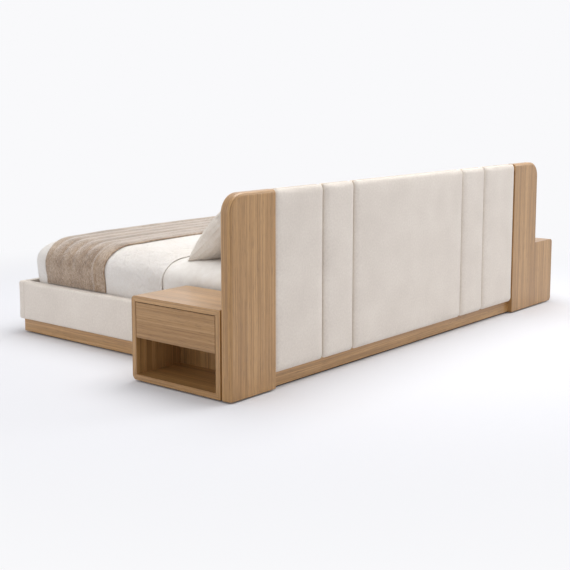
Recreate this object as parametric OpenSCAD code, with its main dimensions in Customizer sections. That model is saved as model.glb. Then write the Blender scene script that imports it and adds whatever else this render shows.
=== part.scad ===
// Wide upholstered bed with an oak-winged headboard and two attached nightstands.
// The headboard's back plane faces +Y, the foot faces -Y, and left is the sleeper's left, +X.
// The origin is on the floor under the middle of the whole piece.

/* [Bed] */
// Width of the mattress that the frame is built round
mattress_w = 2400; // [2000:10:2500]
// Length of the mattress
mattress_l = 2000; // [1900:10:2100]
// Free space between the mattress and each side rail
mattress_side_play = 10; // [10:1:20]
// Free space between the mattress and the headboard, and the foot rail
mattress_end_play = 12.5; // [12:0.5:20]
// Thickness of the upholstered side and foot rails
rail_t = 55; // [40:1:56]
// Height of the rails' top above the floor
rail_top = 333; // [325:1:350]
// Height of the rails' underside, where the oak plinth begins
rail_bottom = 88; // [70:1:110]
// Softness of the padded edges of the rails
rail_edge_r = 14; // [6:1:20]

/* [Plinth] */
// Height of the black toe strips, the shadow gap under the oak
toe_h = 10; // [6:1:20]
// How far the toe strips stand back from the oak above them
toe_setback = 24; // [10:1:30]
// Thickness of the oak plinth boards under the rails
plinth_t = 45; // [40:1:55]
// How far the plinth stands back from the side rails' faces
plinth_side_setback = 20; // [10:1:30]
// How far the plinth stands back from the foot panel's face
plinth_foot_setback = 32; // [20:1:45]
// How far the headboard's base rail stands back from its rear face
base_rail_setback = 32; // [20:1:40]

/* [Headboard] */
// Height of the headboard and its wings above the floor
head_h = 1035; // [950:5:1150]
// Thickness of each padded panel
panel_t = 26; // [18:1:34]
// Thickness of the core board between the front and rear panels
core_t = 18; // [15:1:25]
// Width of the two panels beside the wings
outer_panel_w = 405; // [340:5:450]
// Width of the two narrow panels
narrow_panel_w = 270; // [200:5:300]
// Gap between neighbouring panels
panel_gap = 5; // [3:0.5:8]
// Softness of the panels' padded edges
panel_edge_r = 13; // [6:1:16]
// How far the core board's top lies below the panels' tops
core_drop = 7; // [4:1:12]

/* [Wings] */
// Width of each oak wing
wing_w = 340; // [310:5:400]
// Radius of the wing's top outer corner
wing_corner_r = 100; // [80:5:130]
// Radius of the wing's vertical and top edges
wing_edge_r = 20; // [8:1:24]

/* [Nightstands] */
// Height of the nightstands' tops above the floor
stand_h = 462; // [430:1:500]
// Length of the left nightstand along the bed
left_stand_w = 635; // [560:5:700]
// How far the left nightstand's top laps over the side rail
left_top_lap = 45; // [10:1:50]
// How far the right nightstand stands out beyond its wing
right_stand_out = 250; // [200:5:300]
// Thickness of the case boards
board_t = 30; // [24:1:34]
// Radius of the case's free corners
case_corner_r = 25; // [10:1:29]
// Thickness of the case's back panel
back_t = 12; // [8:1:16]

/* [Drawers] */
// Height of the drawer front
drawer_front_h = 188; // [160:1:210]
// Thickness of the drawer front
drawer_front_t = 20; // [16:1:22]
// Shadow gap round the drawer front
drawer_gap = 4; // [3:0.5:6]
// Height of the drawer box's sides
drawer_side_h = 110; // [80:1:125]
// Thickness of the drawer box's sides
drawer_side_t = 12; // [10:1:15]
// Thickness of the drawer's bottom
drawer_bottom_t = 6; // [4:1:9]
// Length of the ball-bearing runners
runner_l = 280; // [250:5:285]
// Height of the runners
runner_h = 45; // [40:1:50]
// Thickness of a runner's three members together
runner_t = 12.7; // [12.5:0.1:14]
// Thickness of the runners' sheet steel
runner_sheet = 1.4; // [1.2:0.1:1.6]
// Running clearance between the runners' members
runner_play = 0.3; // [0.25:0.05:0.4]

/* [Slat bed] */
// Height of the slats' upper face, on which the mattress lies
slat_top = 300; // [290:1:310]
// Thickness of a slat
slat_t = 17; // [14:1:20]
// Width of a slat
slat_w = 75; // [60:1:90]
// Slats on each side of the centre beam
slat_n = 14; // [10:1:16]
// Height of the centre beam
beam_h = 80; // [60:1:100]
// Width of the centre beam
beam_w = 40; // [40:1:60]
// Diameter of the centre legs
leg_d = 40; // [30:1:50]
// Diameter of the legs' feet
foot_d = 64; // [50:1:80]
// Sheet thickness of the frame's steel brackets
bracket_t = 4; // [3:0.5:6]

/* [Bedding] */
// Height of the mattress's upper face above the floor
mattress_top = 570; // [550:5:600]
// How far the coverlet's turned edge lies from the headboard's back
coverlet_from_head = 890; // [840:10:960]
// Thickness of the coverlet on the mattress
coverlet_t = 28; // [20:1:36]
// How far the throw's headward edge lies from the headboard's back
throw_from_head = 1365; // [1200:5:1400]
// Width of the throw along the bed
throw_w = 550; // [400:10:580]
// Thickness of the throw
throw_t = 8; // [6:1:12]
// Width of a pillow
pillow_w = 1050; // [900:10:1100]
// Height of a pillow
pillow_h = 560; // [520:10:600]
// Thickness of a pillow
pillow_t = 250; // [200:5:260]
// Slope of the front pillows
front_slope = 44; // [40:1:46]
// Slope of the rear pillows
rear_slope = 46; // [46:1:52]

/* [Hidden] */

oak = "#AC8C6A";
oak_light = "#C8AA8C";
cream = "#E4DBD0";
linen = "#CDC6B9";
white = "#EBE9E5";
taupe = "#A08D7C";
black = "#1C1A19";
steel = "#B4B6B8";

round_fn = 48;

// Headboard, worked out from its layers
head_t = 2 * panel_t + core_t;
bed_w = mattress_w + 2 * (mattress_side_play + rail_t);
bed_l = head_t + mattress_l + 2 * mattress_end_play + rail_t;
half_w = bed_w / 2;
centre_panel_w = bed_w - 2 * (outer_panel_w + narrow_panel_w) - 4 * panel_gap;
panel_bottom = rail_bottom;
core_back = -panel_t;
stand_d = wing_w;
right_stand_w = wing_w + right_stand_out;

// The whole piece in plan, and the bed's place in it
total_w = bed_w + 2 * wing_w + right_stand_out;
bed_x = right_stand_out / 2;
back_y = bed_l / 2;

// Slat bed, from the top down
cap_base = 3;
cap_cheek = 3;
cap_l = 40;
cap_play = 0.5;
slat_bottom = slat_top - slat_t;
ledger_top = slat_bottom - cap_base;
beam_bottom = slat_bottom - beam_h;
ledger_w = 32;
ledger_h = 40;
ledger_end_gap = 70;
rail_inner = half_w - rail_t;
foot_inner = -(bed_l - rail_t);
beam_wall = 2.5;
leg_at = [0.27, 0.5, 0.73];
foot_disc_h = 8;
leg_plate_t = 3;

// Drawer, in its case
case_inner_h = stand_h - toe_h - 2 * board_t;
front_top = stand_h - board_t - drawer_gap;
front_bottom = front_top - drawer_front_h;
box_lift = 34;
runner_lift = 28;
side_bottom = front_bottom + box_lift;
runner_z = side_bottom + runner_lift;
box_back_gap = 22;
groove_play = 0.2;
drawer_bottom_up = 10;

// Bedding
mattress_y = -head_t - mattress_end_play - mattress_l / 2;
tuck = 0.4;
lift = 0.4;
edge_roll_w = 180;
edge_roll_h = 110;
corner_r = 120;
side_draw = 5;
crown = 10;
cover_low = rail_top - 14;
cover_hem_t = 7;
throw_low = rail_top + lift;
ridge_h = 6;
ridge_n = 5;
throw_folded = 0.55;
pillow_inner_x = 36;
draw_in = 0.035;

// Points along each curve of the bedding
corner_n = 7;
arc_n = 6;
top_steps = 3;
throw_cols = 22;
pillow_cols = 18;
pillow_rows = 14;

// ---------- shared shapes ----------

// Places the bed's own axes, centred on the headboard's back plane, in the frame
module in_bed() translate([bed_x, back_y, 0]) children();

// A rectangle with four round corners
module round_rect(w, h, r) {
    translate([r, 0]) square([w - 2 * r, h]);
    translate([0, r]) square([w, h - 2 * r]);
    for (x = [r, w - r], y = [r, h - r]) translate([x, y]) circle(r = r, $fn = round_fn);
}

module rod(r, length) cylinder(r = r, h = length, $fn = round_fn);

// A padded board lying on XY, its upper face's edges rolled over by r
module soft_slab(w, h, t, r) {
    linear_extrude(t - r) round_rect(w, h, r);
    translate([r, r, t - r]) cube([w - 2 * r, h - 2 * r, r]);
    translate([0, 0, t - r]) {
        for (y = [r, h - r]) translate([r, y]) rotate([0, 90, 0]) rod(r, w - 2 * r);
        for (x = [r, w - r]) translate([x, r]) rotate([-90, 0, 0]) rod(r, h - 2 * r);
        for (x = [r, w - r], y = [r, h - r]) translate([x, y]) sphere(r = r, $fn = round_fn);
    }
}

// ---------- headboard ----------

// A padded panel in the rear face, its left edge at x
module rear_panel(x, w) {
    color(cream) in_bed() translate([x, -panel_t, panel_bottom]) rotate([90, 0, 180])
        soft_slab(w, head_h - panel_bottom, panel_t, panel_edge_r);
}

// The same panel in the front face
module front_panel(x, w) {
    color(cream) in_bed() translate([x - w, core_back - core_t, panel_bottom]) rotate([90, 0, 0])
        soft_slab(w, head_h - panel_bottom, panel_t, panel_edge_r);
}

narrow_edge = half_w - outer_panel_w - panel_gap;
centre_edge = centre_panel_w / 2;

module rear_outer_left_panel() rear_panel(half_w, outer_panel_w);
module rear_narrow_left_panel() rear_panel(narrow_edge, narrow_panel_w);
module rear_centre_panel() rear_panel(centre_edge, centre_panel_w);
module rear_narrow_right_panel() rear_panel(narrow_panel_w - narrow_edge, narrow_panel_w);
module rear_outer_right_panel() rear_panel(outer_panel_w - half_w, outer_panel_w);

module front_left_panels() {
    front_panel(half_w, outer_panel_w);
    front_panel(narrow_edge, narrow_panel_w);
}
module front_centre_panel() front_panel(centre_edge, centre_panel_w);
module front_right_panels() {
    front_panel(outer_panel_w - half_w, outer_panel_w);
    front_panel(narrow_panel_w - narrow_edge, narrow_panel_w);
}

// Hanging clips, sunk into the core behind the middle of each panel, high and low
clip_w = 60;
clip_h = 36;
clip_t = 5;
clip_x = [-half_w + outer_panel_w / 2, -narrow_edge + narrow_panel_w / 2, 0,
          narrow_edge - narrow_panel_w / 2, half_w - outer_panel_w / 2];
clip_low = 120;
clip_high = 160;
clip_z = [panel_bottom + clip_low, head_h - clip_high];

module clip_blocks(play) {
    for (x = clip_x, z = clip_z, y = [core_back - clip_t, core_back - core_t])
        translate([x - clip_w / 2 - play, y, z - play])
            cube([clip_w + 2 * play, clip_t, clip_h + 2 * play]);
}

module headboard_core() {
    color("#C9B79C") in_bed() difference() {
        translate([-half_w, core_back - core_t, rail_bottom])
            cube([bed_w, core_t, head_h - core_drop - rail_bottom]);
        clip_blocks(0.5);
    }
}

module panel_clips() color(steel) in_bed() clip_blocks(0);

// Section of a wing from its corner's centre out to its edge, the outer edge rolled over
module wing_section() {
    r = wing_edge_r;
    square([wing_corner_r - r, head_t]);
    translate([0, r]) square([wing_corner_r, head_t - 2 * r]);
    for (y = [r, head_t - r]) translate([wing_corner_r - r, y]) circle(r = r, $fn = round_fn);
}

// The wing's section swept up its outer edge, round its corner and along its top,
// drawn with x outward, y up and the thickness along z
module wing_board() {
    inner = wing_w - wing_corner_r;
    straight = head_h - wing_corner_r;
    translate([0, toe_h, 0]) cube([inner, straight - toe_h, head_t]);
    translate([inner, straight, 0]) rotate([90, 0, 0]) linear_extrude(straight - toe_h) wing_section();
    translate([inner, straight, 0]) rotate_extrude(angle = 90, $fn = 96) wing_section();
    translate([0, straight, 0]) rotate([90, 0, 90]) linear_extrude(inner) wing_section();
}

module left_wing() {
    color(oak) in_bed() translate([half_w, 0, 0]) rotate([90, 0, 0]) wing_board();
}

// Outline of the wing's shoulder behind the right nightstand, its free corners round
module shoulder_outline() {
    r = case_corner_r;
    start = wing_w - wing_corner_r - wing_edge_r;
    translate([start, toe_h]) square([right_stand_w - r - start, stand_h - toe_h]);
    translate([start, toe_h + r]) square([right_stand_w - start, stand_h - toe_h - 2 * r]);
    for (y = [toe_h + r, stand_h - r]) translate([right_stand_w - r, y]) circle(r = r, $fn = round_fn);
}

module right_wing() {
    color(oak) in_bed() translate([-half_w, 0, 0]) mirror([1, 0, 0]) rotate([90, 0, 0]) {
        wing_board();
        linear_extrude(head_t) shoulder_outline();
    }
}

module headboard_base_rail() {
    color(oak) in_bed() translate([-half_w, -head_t, toe_h])
        cube([bed_w, head_t - base_rail_setback, rail_bottom - toe_h]);
}

module headboard_toe() {
    toe_front = head_t - toe_setback / 2;
    color(black) in_bed()
        translate([-half_w - right_stand_w + toe_setback, -toe_front, 0])
            cube([total_w - 2 * toe_setback, toe_front - base_rail_setback - toe_setback / 2, toe_h]);
}

// ---------- bed frame ----------

module side_rail(side) {
    h = rail_top - rail_bottom;
    color(cream) in_bed() translate([side > 0 ? rail_inner : -half_w, -head_t, rail_bottom])
        rotate([90, 0, 0]) linear_extrude(bed_l - rail_t - head_t) round_rect(rail_t, h, rail_edge_r);
}
module left_side_rail() side_rail(1);
module right_side_rail() side_rail(-1);

module foot_rail() {
    color(cream) in_bed() translate([-half_w, foot_inner, rail_bottom]) rotate([90, 0, 0])
        soft_slab(bed_w, rail_top - rail_bottom, rail_t, rail_edge_r);
}

plinth_face = half_w - plinth_side_setback;
plinth_end = bed_l - plinth_foot_setback;

module side_plinth(side) {
    color(oak) in_bed() translate([side > 0 ? plinth_face - plinth_t : -plinth_face, -plinth_end, toe_h])
        cube([plinth_t, plinth_end - head_t, rail_bottom - toe_h]);
}
module left_plinth() side_plinth(1);
module right_plinth() side_plinth(-1);

module foot_plinth() {
    color(oak) in_bed() translate([-plinth_face + plinth_t, -plinth_end, toe_h])
        cube([2 * (plinth_face - plinth_t), plinth_t, rail_bottom - toe_h]);
}

toe_w = plinth_t - toe_setback;
toe_face = plinth_face - toe_setback;
toe_end = plinth_end - toe_setback;

module side_toe(side) {
    color(black) in_bed() translate([side > 0 ? toe_face - toe_w : -toe_face, -toe_end, 0])
        cube([toe_w, toe_end - head_t, toe_h]);
}
module left_toe() side_toe(1);
module right_toe() side_toe(-1);

module foot_toe() {
    color(black) in_bed() translate([-toe_face + toe_w, -toe_end, 0])
        cube([2 * (toe_face - toe_w), toe_w, toe_h]);
}

module ledger(side) {
    color("#D2B48C") in_bed()
        translate([side > 0 ? rail_inner - ledger_w : -rail_inner, foot_inner, ledger_top - ledger_h])
            translate([0, ledger_end_gap, 0])
                cube([ledger_w, -foot_inner - head_t - 2 * ledger_end_gap, ledger_h]);
}
module left_ledger() ledger(1);
module right_ledger() ledger(-1);

module centre_beam() {
    color("#3A3A3C") in_bed() translate([-beam_w / 2, foot_inner, beam_bottom])
        difference() {
            cube([beam_w, -foot_inner - head_t, beam_h]);
            translate([beam_wall, -1, beam_wall])
                cube([beam_w - 2 * beam_wall, -foot_inner - head_t + 2, beam_h - 2 * beam_wall]);
        }
}

module centre_legs() {
    top = beam_bottom;
    color(black) in_bed() for (share = leg_at) translate([0, -bed_l * share, 0]) {
        cylinder(d = foot_d, h = foot_disc_h, $fn = round_fn);
        cylinder(d = leg_d, h = top, $fn = round_fn);
        translate([0, 0, top - leg_plate_t]) cylinder(d = foot_d, h = leg_plate_t, $fn = round_fn);
    }
}

// The slats and their end caps stand in a row along the bed
slat_end_gap = 75;
slat_pitch = (-foot_inner - head_t - 2 * slat_end_gap) / (slat_n - 1);
function slat_y(i) = -head_t - slat_end_gap - i * slat_pitch;
slat_in = 4;
slat_out_play = 2;
slat_len = rail_inner - slat_in - slat_out_play;

module slats() {
    color("#DCC39A") in_bed() for (side = [-1, 1], i = [0:slat_n - 1])
        translate([side > 0 ? slat_in : -slat_in - slat_len, slat_y(i) - slat_w / 2, slat_bottom])
            cube([slat_len, slat_w, slat_t]);
}

module slat_cap() {
    outer = slat_w + 2 * (cap_cheek + cap_play);
    difference() {
        translate([0, -outer / 2, -cap_base]) cube([cap_l, outer, slat_t]);
        translate([-1, -slat_w / 2 - cap_play, 0]) cube([cap_l + 2, slat_w + 2 * cap_play, slat_t]);
    }
}

module slat_caps() {
    color(black) in_bed() for (side = [-1, 1], i = [0:slat_n - 1]) {
        translate([side > 0 ? rail_inner - cap_l : -rail_inner, slat_y(i), slat_bottom]) slat_cap();
    }
}

// Angle brackets in the four corners, and saddles under the beam's two ends
bracket_leg = 60;
bracket_h = 130;
bracket_lift = 20;
bracket_z = rail_bottom + bracket_lift;
saddle_l = 44;
saddle_h = 56;
saddle_play = 0.5;
bolt_head_d = 15;
bolt_head_h = 6;
bolt_end = 30;

module corner_bracket(side, at_head) {
    y = at_head ? -head_t : foot_inner;
    toward = at_head ? -1 : 1;
    translate([side * (rail_inner - bracket_t / 2), y + toward * bracket_leg / 2, bracket_z + bracket_h / 2])
        cube([bracket_t, bracket_leg, bracket_h], center = true);
    translate([side * (rail_inner - bracket_leg / 2), y + toward * bracket_t / 2, bracket_z + bracket_h / 2])
        cube([bracket_leg, bracket_t, bracket_h], center = true);
}

module beam_saddle(at_head) {
    y = at_head ? -head_t - saddle_l : foot_inner;
    base = beam_bottom - bracket_t;
    difference() {
        translate([-beam_w / 2 - bracket_t, y, base])
            cube([beam_w + 2 * bracket_t, saddle_l, saddle_h]);
        translate([-beam_w / 2 - saddle_play, y - 1, base + bracket_t])
            cube([beam_w + 2 * saddle_play, saddle_l + 2, saddle_h]);
    }
}

module frame_brackets() {
    color(steel) in_bed() {
        for (side = [-1, 1], at_head = [true, false]) corner_bracket(side, at_head);
        for (at_head = [true, false]) beam_saddle(at_head);
    }
}

// Hexagon heads of the bolts through the corner brackets' legs
bolt_z = [bracket_z + bolt_end, bracket_z + bracket_h - bolt_end];

module frame_bolts() {
    color("#8C8E90") in_bed() for (side = [-1, 1], at_head = [true, false], z = bolt_z) {
        y = at_head ? -head_t : foot_inner;
        toward = at_head ? -1 : 1;
        translate([side * (rail_inner - bracket_t), y + toward * bracket_leg * 0.6, z])
            rotate([0, -side * 90, 0]) cylinder(d = bolt_head_d, h = bolt_head_h, $fn = 6);
        translate([side * (rail_inner - bracket_leg * 0.6), y + toward * bracket_t, z])
            rotate([-toward * 90, 0, 0]) cylinder(d = bolt_head_d, h = bolt_head_h, $fn = 6);
    }
}

// ---------- nightstands ----------
// In its own axes a nightstand has its fixed end at x = 0, its back at y = 0 and its open
// front at y = stand_d; the left one faces outward, the right one faces the foot.

module place_stand(side) {
    if (side > 0) in_bed() translate([half_w, -head_t, 0]) rotate([0, 0, -90]) children();
    else in_bed() translate([-half_w, -head_t, 0]) rotate([0, 0, 180]) children();
}

function stand_w(side) = side > 0 ? left_stand_w : right_stand_w;

// Outline of a case, the two corners at its free end round
module case_outline(w) {
    r = case_corner_r;
    translate([0, toe_h]) square([w - r, stand_h - toe_h]);
    translate([0, toe_h + r]) square([w, stand_h - toe_h - 2 * r]);
    for (z = [toe_h + r, stand_h - r]) translate([w - r, z]) circle(r = r, $fn = round_fn);
}

// One board of a case: its outline, cut by the mitres at the board's two ends
module case_board(side, mitres) {
    place_stand(side) translate([0, stand_d, 0]) rotate([90, 0, 0]) linear_extrude(stand_d)
        intersection() {
            case_outline(stand_w(side));
            polygon(mitres);
        }
}

module case_top(side) {
    w = stand_w(side);
    t = board_t;
    color(oak_light) {
        case_board(side, [[0, stand_h], [w, stand_h], [w - t, stand_h - t], [t, stand_h - t]]);
        if (side > 0) place_stand(side) rotate([90, 0, 0]) linear_extrude(left_top_lap) intersection() {
            case_outline(w);
            translate([0, stand_h - t]) square([w, t]);
        }
    }
}
module case_bottom(side) {
    w = stand_w(side);
    t = board_t;
    color(oak) case_board(side, [[0, toe_h], [w, toe_h], [w - t, toe_h + t], [t, toe_h + t]]);
}
module case_free_side(side) {
    w = stand_w(side);
    t = board_t;
    color(oak) case_board(side, [[w, stand_h], [w, toe_h], [w - t, toe_h + t], [w - t, stand_h - t]]);
}
module case_fixed_side(side) {
    t = board_t;
    color(oak) case_board(side, [[0, stand_h], [0, toe_h], [t, toe_h + t], [t, stand_h - t]]);
}
module case_back(side) {
    color("#7C6149") place_stand(side) translate([board_t, 0, toe_h + board_t])
        cube([stand_w(side) - 2 * board_t, back_t, case_inner_h]);
}
module case_toe(side) {
    color(black) place_stand(side) translate([toe_setback, toe_setback, 0])
        cube([stand_w(side) - 2 * toe_setback, stand_d - 2 * toe_setback, toe_h]);
}

// ---------- drawers and runners ----------

runner_front_gap = 2;
runner_front = stand_d - drawer_front_t - runner_front_gap;

// A channel of sheet steel: its web at x = 0, its two flanges reaching along x
module channel(reach, h) {
    square([runner_sheet, h]);
    for (y = [0, h - runner_sheet]) translate([0, y]) square([reach, runner_sheet]);
}

runner_mid_x = runner_t / 2;
cabinet_reach = runner_mid_x - runner_play;
middle_step = 2 * runner_sheet;
drawer_step = 2 * middle_step;

// Cabinet member, fixed to the case
module cabinet_member() channel(cabinet_reach, runner_h);
// Middle member, an H whose flanges reach both ways
module middle_member() {
    h = runner_h - 2 * middle_step;
    from = runner_sheet + runner_play;
    to = runner_t - runner_sheet - runner_play;
    translate([runner_mid_x - runner_sheet / 2, middle_step]) square([runner_sheet, h]);
    for (y = [middle_step, middle_step + h - runner_sheet])
        translate([from, y]) square([to - from, runner_sheet]);
}
// Drawer member, fixed to the drawer's side and running inside the middle member
module drawer_member() {
    h = runner_h - 2 * drawer_step;
    reach = runner_t - runner_mid_x - runner_sheet / 2 - runner_play;
    translate([runner_t, drawer_step]) mirror([1, 0]) channel(reach, h);
}

// Both runners of a drawer, from one member's section
module runners(side) {
    color(steel) place_stand(side) translate([0, runner_front, runner_z])
        for (end = [0, 1]) translate([end == 0 ? board_t : stand_w(side) - board_t, 0, 0])
            mirror([end, 0, 0]) rotate([90, 0, 0]) linear_extrude(runner_l) children();
}

module cabinet_runners(side) runners(side) cabinet_member();
module middle_runners(side) runners(side) middle_member();
module drawer_runners(side) runners(side) drawer_member();

module drawer_front(side) {
    color(oak) place_stand(side)
        translate([board_t + drawer_gap, stand_d - drawer_front_t, front_bottom])
            cube([stand_w(side) - 2 * (board_t + drawer_gap), drawer_front_t, drawer_front_h]);
}

// Open-topped box between the runners, its bottom let into a groove of its four walls
module drawer_box(side) {
    x = board_t + runner_t;
    w = stand_w(side) - 2 * x;
    y = back_t + box_back_gap;
    d = stand_d - drawer_front_t - y;
    t = drawer_side_t;
    groove = drawer_side_t / 2;
    bottom_z = drawer_bottom_up;
    color("#D9C7AC") place_stand(side) translate([x, y, side_bottom]) {
        difference() {
            cube([w, d, drawer_side_h]);
            translate([t, t, -1]) cube([w - 2 * t, d - 2 * t, drawer_side_h + 2]);
            translate([t - groove, t - groove, bottom_z])
                cube([w - 2 * (t - groove), d - 2 * (t - groove), drawer_bottom_t]);
        }
        translate([t - groove + groove_play, t - groove + groove_play, bottom_z + groove_play])
            cube([w - 2 * (t - groove + groove_play), d - 2 * (t - groove + groove_play),
                  drawer_bottom_t - 2 * groove_play]);
    }
}

module left_case_top() case_top(1);
module left_case_bottom() case_bottom(1);
module left_case_free_side() case_free_side(1);
module left_case_fixed_side() case_fixed_side(1);
module left_case_back() case_back(1);
module left_case_toe() case_toe(1);
module left_cabinet_runners() cabinet_runners(1);
module left_middle_runners() middle_runners(1);
module left_drawer_runners() drawer_runners(1);
module left_drawer_front() drawer_front(1);
module left_drawer_box() drawer_box(1);

module right_case_top() case_top(-1);
module right_case_bottom() case_bottom(-1);
module right_case_free_side() case_free_side(-1);
module right_case_fixed_side() case_fixed_side(-1);
module right_case_back() case_back(-1);
module right_case_toe() case_toe(-1);
module right_cabinet_runners() cabinet_runners(-1);
module right_middle_runners() middle_runners(-1);
module right_drawer_runners() drawer_runners(-1);
module right_drawer_front() drawer_front(-1);
module right_drawer_box() drawer_box(-1);

// ---------- bedding ----------

// Triangles of a skin over rows of n points each, the first numbered from. A closed skin joins
// each row's end to its start, a flipped one faces the other way, and in a spread one every
// cell's diagonal runs out toward the nearest corner.
function skin(rows, n, from = 0, closed = false, flipped = false, spread = false) = [
    for (k = [0:rows - 2], i = [0:closed ? n - 1 : n - 2], half = [0, 1])
        let (a = from + k * n + i,
             b = from + k * n + (i + 1) % n,
             turned = spread && (k < (rows - 1) / 2) != (i < (n - 1) / 2),
             first = turned ? [a, b, a + n] : [a, b, b + n],
             second = turned ? [b, b + n, a + n] : [b + n, a + n, a],
             tri = half == 0 ? first : second)
        flipped ? [tri[2], tri[1], tri[0]] : tri
];

// Triangles of the strip between two lists of point numbers
function strip(a, b) = [
    for (i = [0:len(a) - 2], half = [0, 1]) half == 0 ? [a[i], b[i], b[i + 1]] : [a[i], b[i + 1], a[i + 1]]
];
function count_up(first, step, n) = [for (i = [0:n - 1]) first + i * step];

// Triangles of a thick sheet of rows by n points: its outer skin is numbered first, then its
// inner skin. The strips close its first row and its two sides.
function sheet(rows, n) = let (inner = rows * n) concat(
    skin(rows, n),
    skin(rows, n, from = inner, flipped = true),
    strip(count_up(0, 1, n), count_up(inner, 1, n)),
    strip(count_up(inner, n, rows), count_up(0, n, rows)),
    strip(count_up(n - 1, n, rows), count_up(inner + n - 1, n, rows))
);

// The mattress's rolled upper edge is a quarter of an ellipse, edge_roll_w by edge_roll_h
mattress_end = mattress_l / 2;
mattress_roll = mattress_top - edge_roll_h;
corner_tighten = 60;
tape_z = slat_top + 12;
tape_in = 12;

// Height of the crowned top at a share s of the way from its rolled edge to its middle
function crowned(s) = crown * (1 - pow(1 - s, 2));
// The shares at which the top has a row of points; the last leaves a flat middle
top_shares = [for (s = [1:top_steps]) s / top_steps * 0.9];
function top_inset(s) = edge_roll_w + (mattress_end - edge_roll_w) * s;

// One loop of points round the mattress: inset is how far it lies inside the mattress's
// sides, r the radius of its corners
function loop(inset, r, z) = [
    for (q = [0:3], i = [0:corner_n - 1])
        let (a = 90 * q + 90 * i / (corner_n - 1),
             sx = (q == 0 || q == 3) ? 1 : -1,
             sy = q < 2 ? 1 : -1)
        [sx * (mattress_w / 2 - inset - r) + r * cos(a),
         mattress_y + sy * (mattress_end - inset - r) + r * sin(a), z]
];

module mattress() {
    sides = [for (s = [0, 0.25, 0.5, 0.75, 1])
        loop(side_draw * sin(180 * s), corner_r, tape_z + (mattress_roll - tape_z) * s)];
    roll = [for (i = [1:arc_n]) let (a = 90 * i / arc_n)
        loop(edge_roll_w * (1 - cos(a)), corner_r - corner_tighten * (1 - cos(a)),
             mattress_roll + edge_roll_h * sin(a))];
    top = [for (s = top_shares)
        loop(top_inset(s), (corner_r - corner_tighten) * (1 - s), mattress_top + crowned(s))];
    rows = concat([loop(tape_in, corner_r - tape_in, slat_top)], sides, roll, top);
    n = 4 * corner_n;
    points = [for (row = rows) each row];
    faces = concat(
        [count_up(0, 1, n)],
        skin(len(rows), n, closed = true, flipped = true),
        [count_up(len(points) - 1, -1, n)]
    );
    color(white) in_bed() polyhedron(points, faces);
}

// Half of the bedding's section across the bed, from the height start to the middle of the top.
// It lies off_low outside the mattress at the coverlet's low edge and off_top above it; each
// entry is [inset from the mattress's side, height].
function section(start, off_low, off_top) = let (puff = off_top - off_low) concat(
    [for (s = [(start - cover_low) / (mattress_roll - cover_low), 0.4, 0.75])
        [-off_low - puff * s / 2, cover_low + (mattress_roll - cover_low) * s]],
    [for (i = [0:arc_n]) let (a = 90 * i / arc_n, off = off_low + puff * (1 + i / arc_n) / 2)
        [edge_roll_w - (edge_roll_w + off) * cos(a), mattress_roll + (edge_roll_h + off) * sin(a)]],
    [for (s = top_shares) [top_inset(s), mattress_top + off_top + crowned(s)]]
);

// One row of the coverlet: from its turned edge down the left side, round the foot and back.
// The corners' radius falls off with the inset as the mattress's own does.
function cover_radius(inset) = inset <= 0
    ? corner_r - inset
    : max(corner_r - inset * corner_tighten / edge_roll_w,
          (corner_r - corner_tighten) * (1 - (inset - edge_roll_w) / (mattress_end - edge_roll_w)));

function cover_row(inset, z) = let (
        r = cover_radius(inset),
        x = mattress_w / 2 - inset,
        foot = mattress_y - mattress_end + inset,
        head = -coverlet_from_head,
        middle = (head + foot + r) / 2,
        angles = [for (i = [0:corner_n - 1]) 90 * i / (corner_n - 1)])
    concat(
        [[x, head, z], [x, middle, z]],
        [for (a = angles) [x - r + r * cos(a), foot + r - r * sin(a), z]],
        [for (a = angles) [r - x - r * sin(a), foot + r - r * cos(a), z]],
        [[-x, middle, z], [-x, head, z]]
    );

module coverlet() {
    outer = section(cover_low, cover_hem_t, coverlet_t);
    inner = section(cover_low, tuck, tuck);
    n = 2 * corner_n + 4;
    rows = len(outer);
    points = [for (p = concat(outer, inner)) each cover_row(p[0], p[1])];
    under = rows * n;
    top = (rows - 1) * n;
    half = n / 2;
    function left(first) = count_up(first, 1, half);
    function right(first) = count_up(first + n - 1, -1, half);
    faces = concat(
        sheet(rows, n),
        strip(right(top), left(top)),
        strip(left(under + top), right(under + top)),
        [[under + top, top, top + n - 1, under + top + n - 1]]
    );
    color(white) in_bed() polyhedron(points, faces);
}

// The throw is a band across the bed whose upper side stands in soft ridges, lower past the
// folded part near its headward edge
function ridge(s) = ridge_h * pow(abs(sin(180 * ridge_n * s)), 0.8) * (s < throw_folded ? 1 : 0.5);

module throw() {
    outer = section(throw_low, cover_hem_t + tuck + throw_t, coverlet_t + tuck + throw_t);
    inner = section(throw_low, cover_hem_t + tuck, coverlet_t + tuck);
    half = len(outer);
    n = 2 * half;
    // Both halves of a section, from the right low edge over the top to the left one
    function across(sec, i, y, rise) = let (k = i < half ? i : n - 1 - i, side = i < half ? -1 : 1)
        [side * (mattress_w / 2 - sec[k][0]), y, sec[k][1] + rise * k / (half - 1)];
    shares = [for (c = [0:throw_cols]) c / throw_cols];
    function row(sec, s, rise) = [
        for (i = [0:n - 1]) across(sec, i, -throw_from_head - throw_w * s, rise)];
    points = concat(
        [for (s = shares) each row(outer, s, ridge(s))],
        [for (s = shares) each row(inner, s, 0)]
    );
    under = len(shares) * n;
    end = throw_cols * n;
    faces = concat(
        sheet(len(shares), n),
        strip(count_up(under + end, 1, n), count_up(end, 1, n))
    );
    color(taupe) in_bed() polyhedron(points, faces);
}

// A pillow: crowned, its ends and its upper side drawn in between its corners. It stands on its
// long edge at y, leans back at a slope, and lies flat where it meets the mattress.
function swell(u, v) = pow(max(1 - pow(abs(u), 3.2), 0), 0.62) * pow(max(1 - pow(abs(v), 2.6), 0), 0.62);

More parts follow.
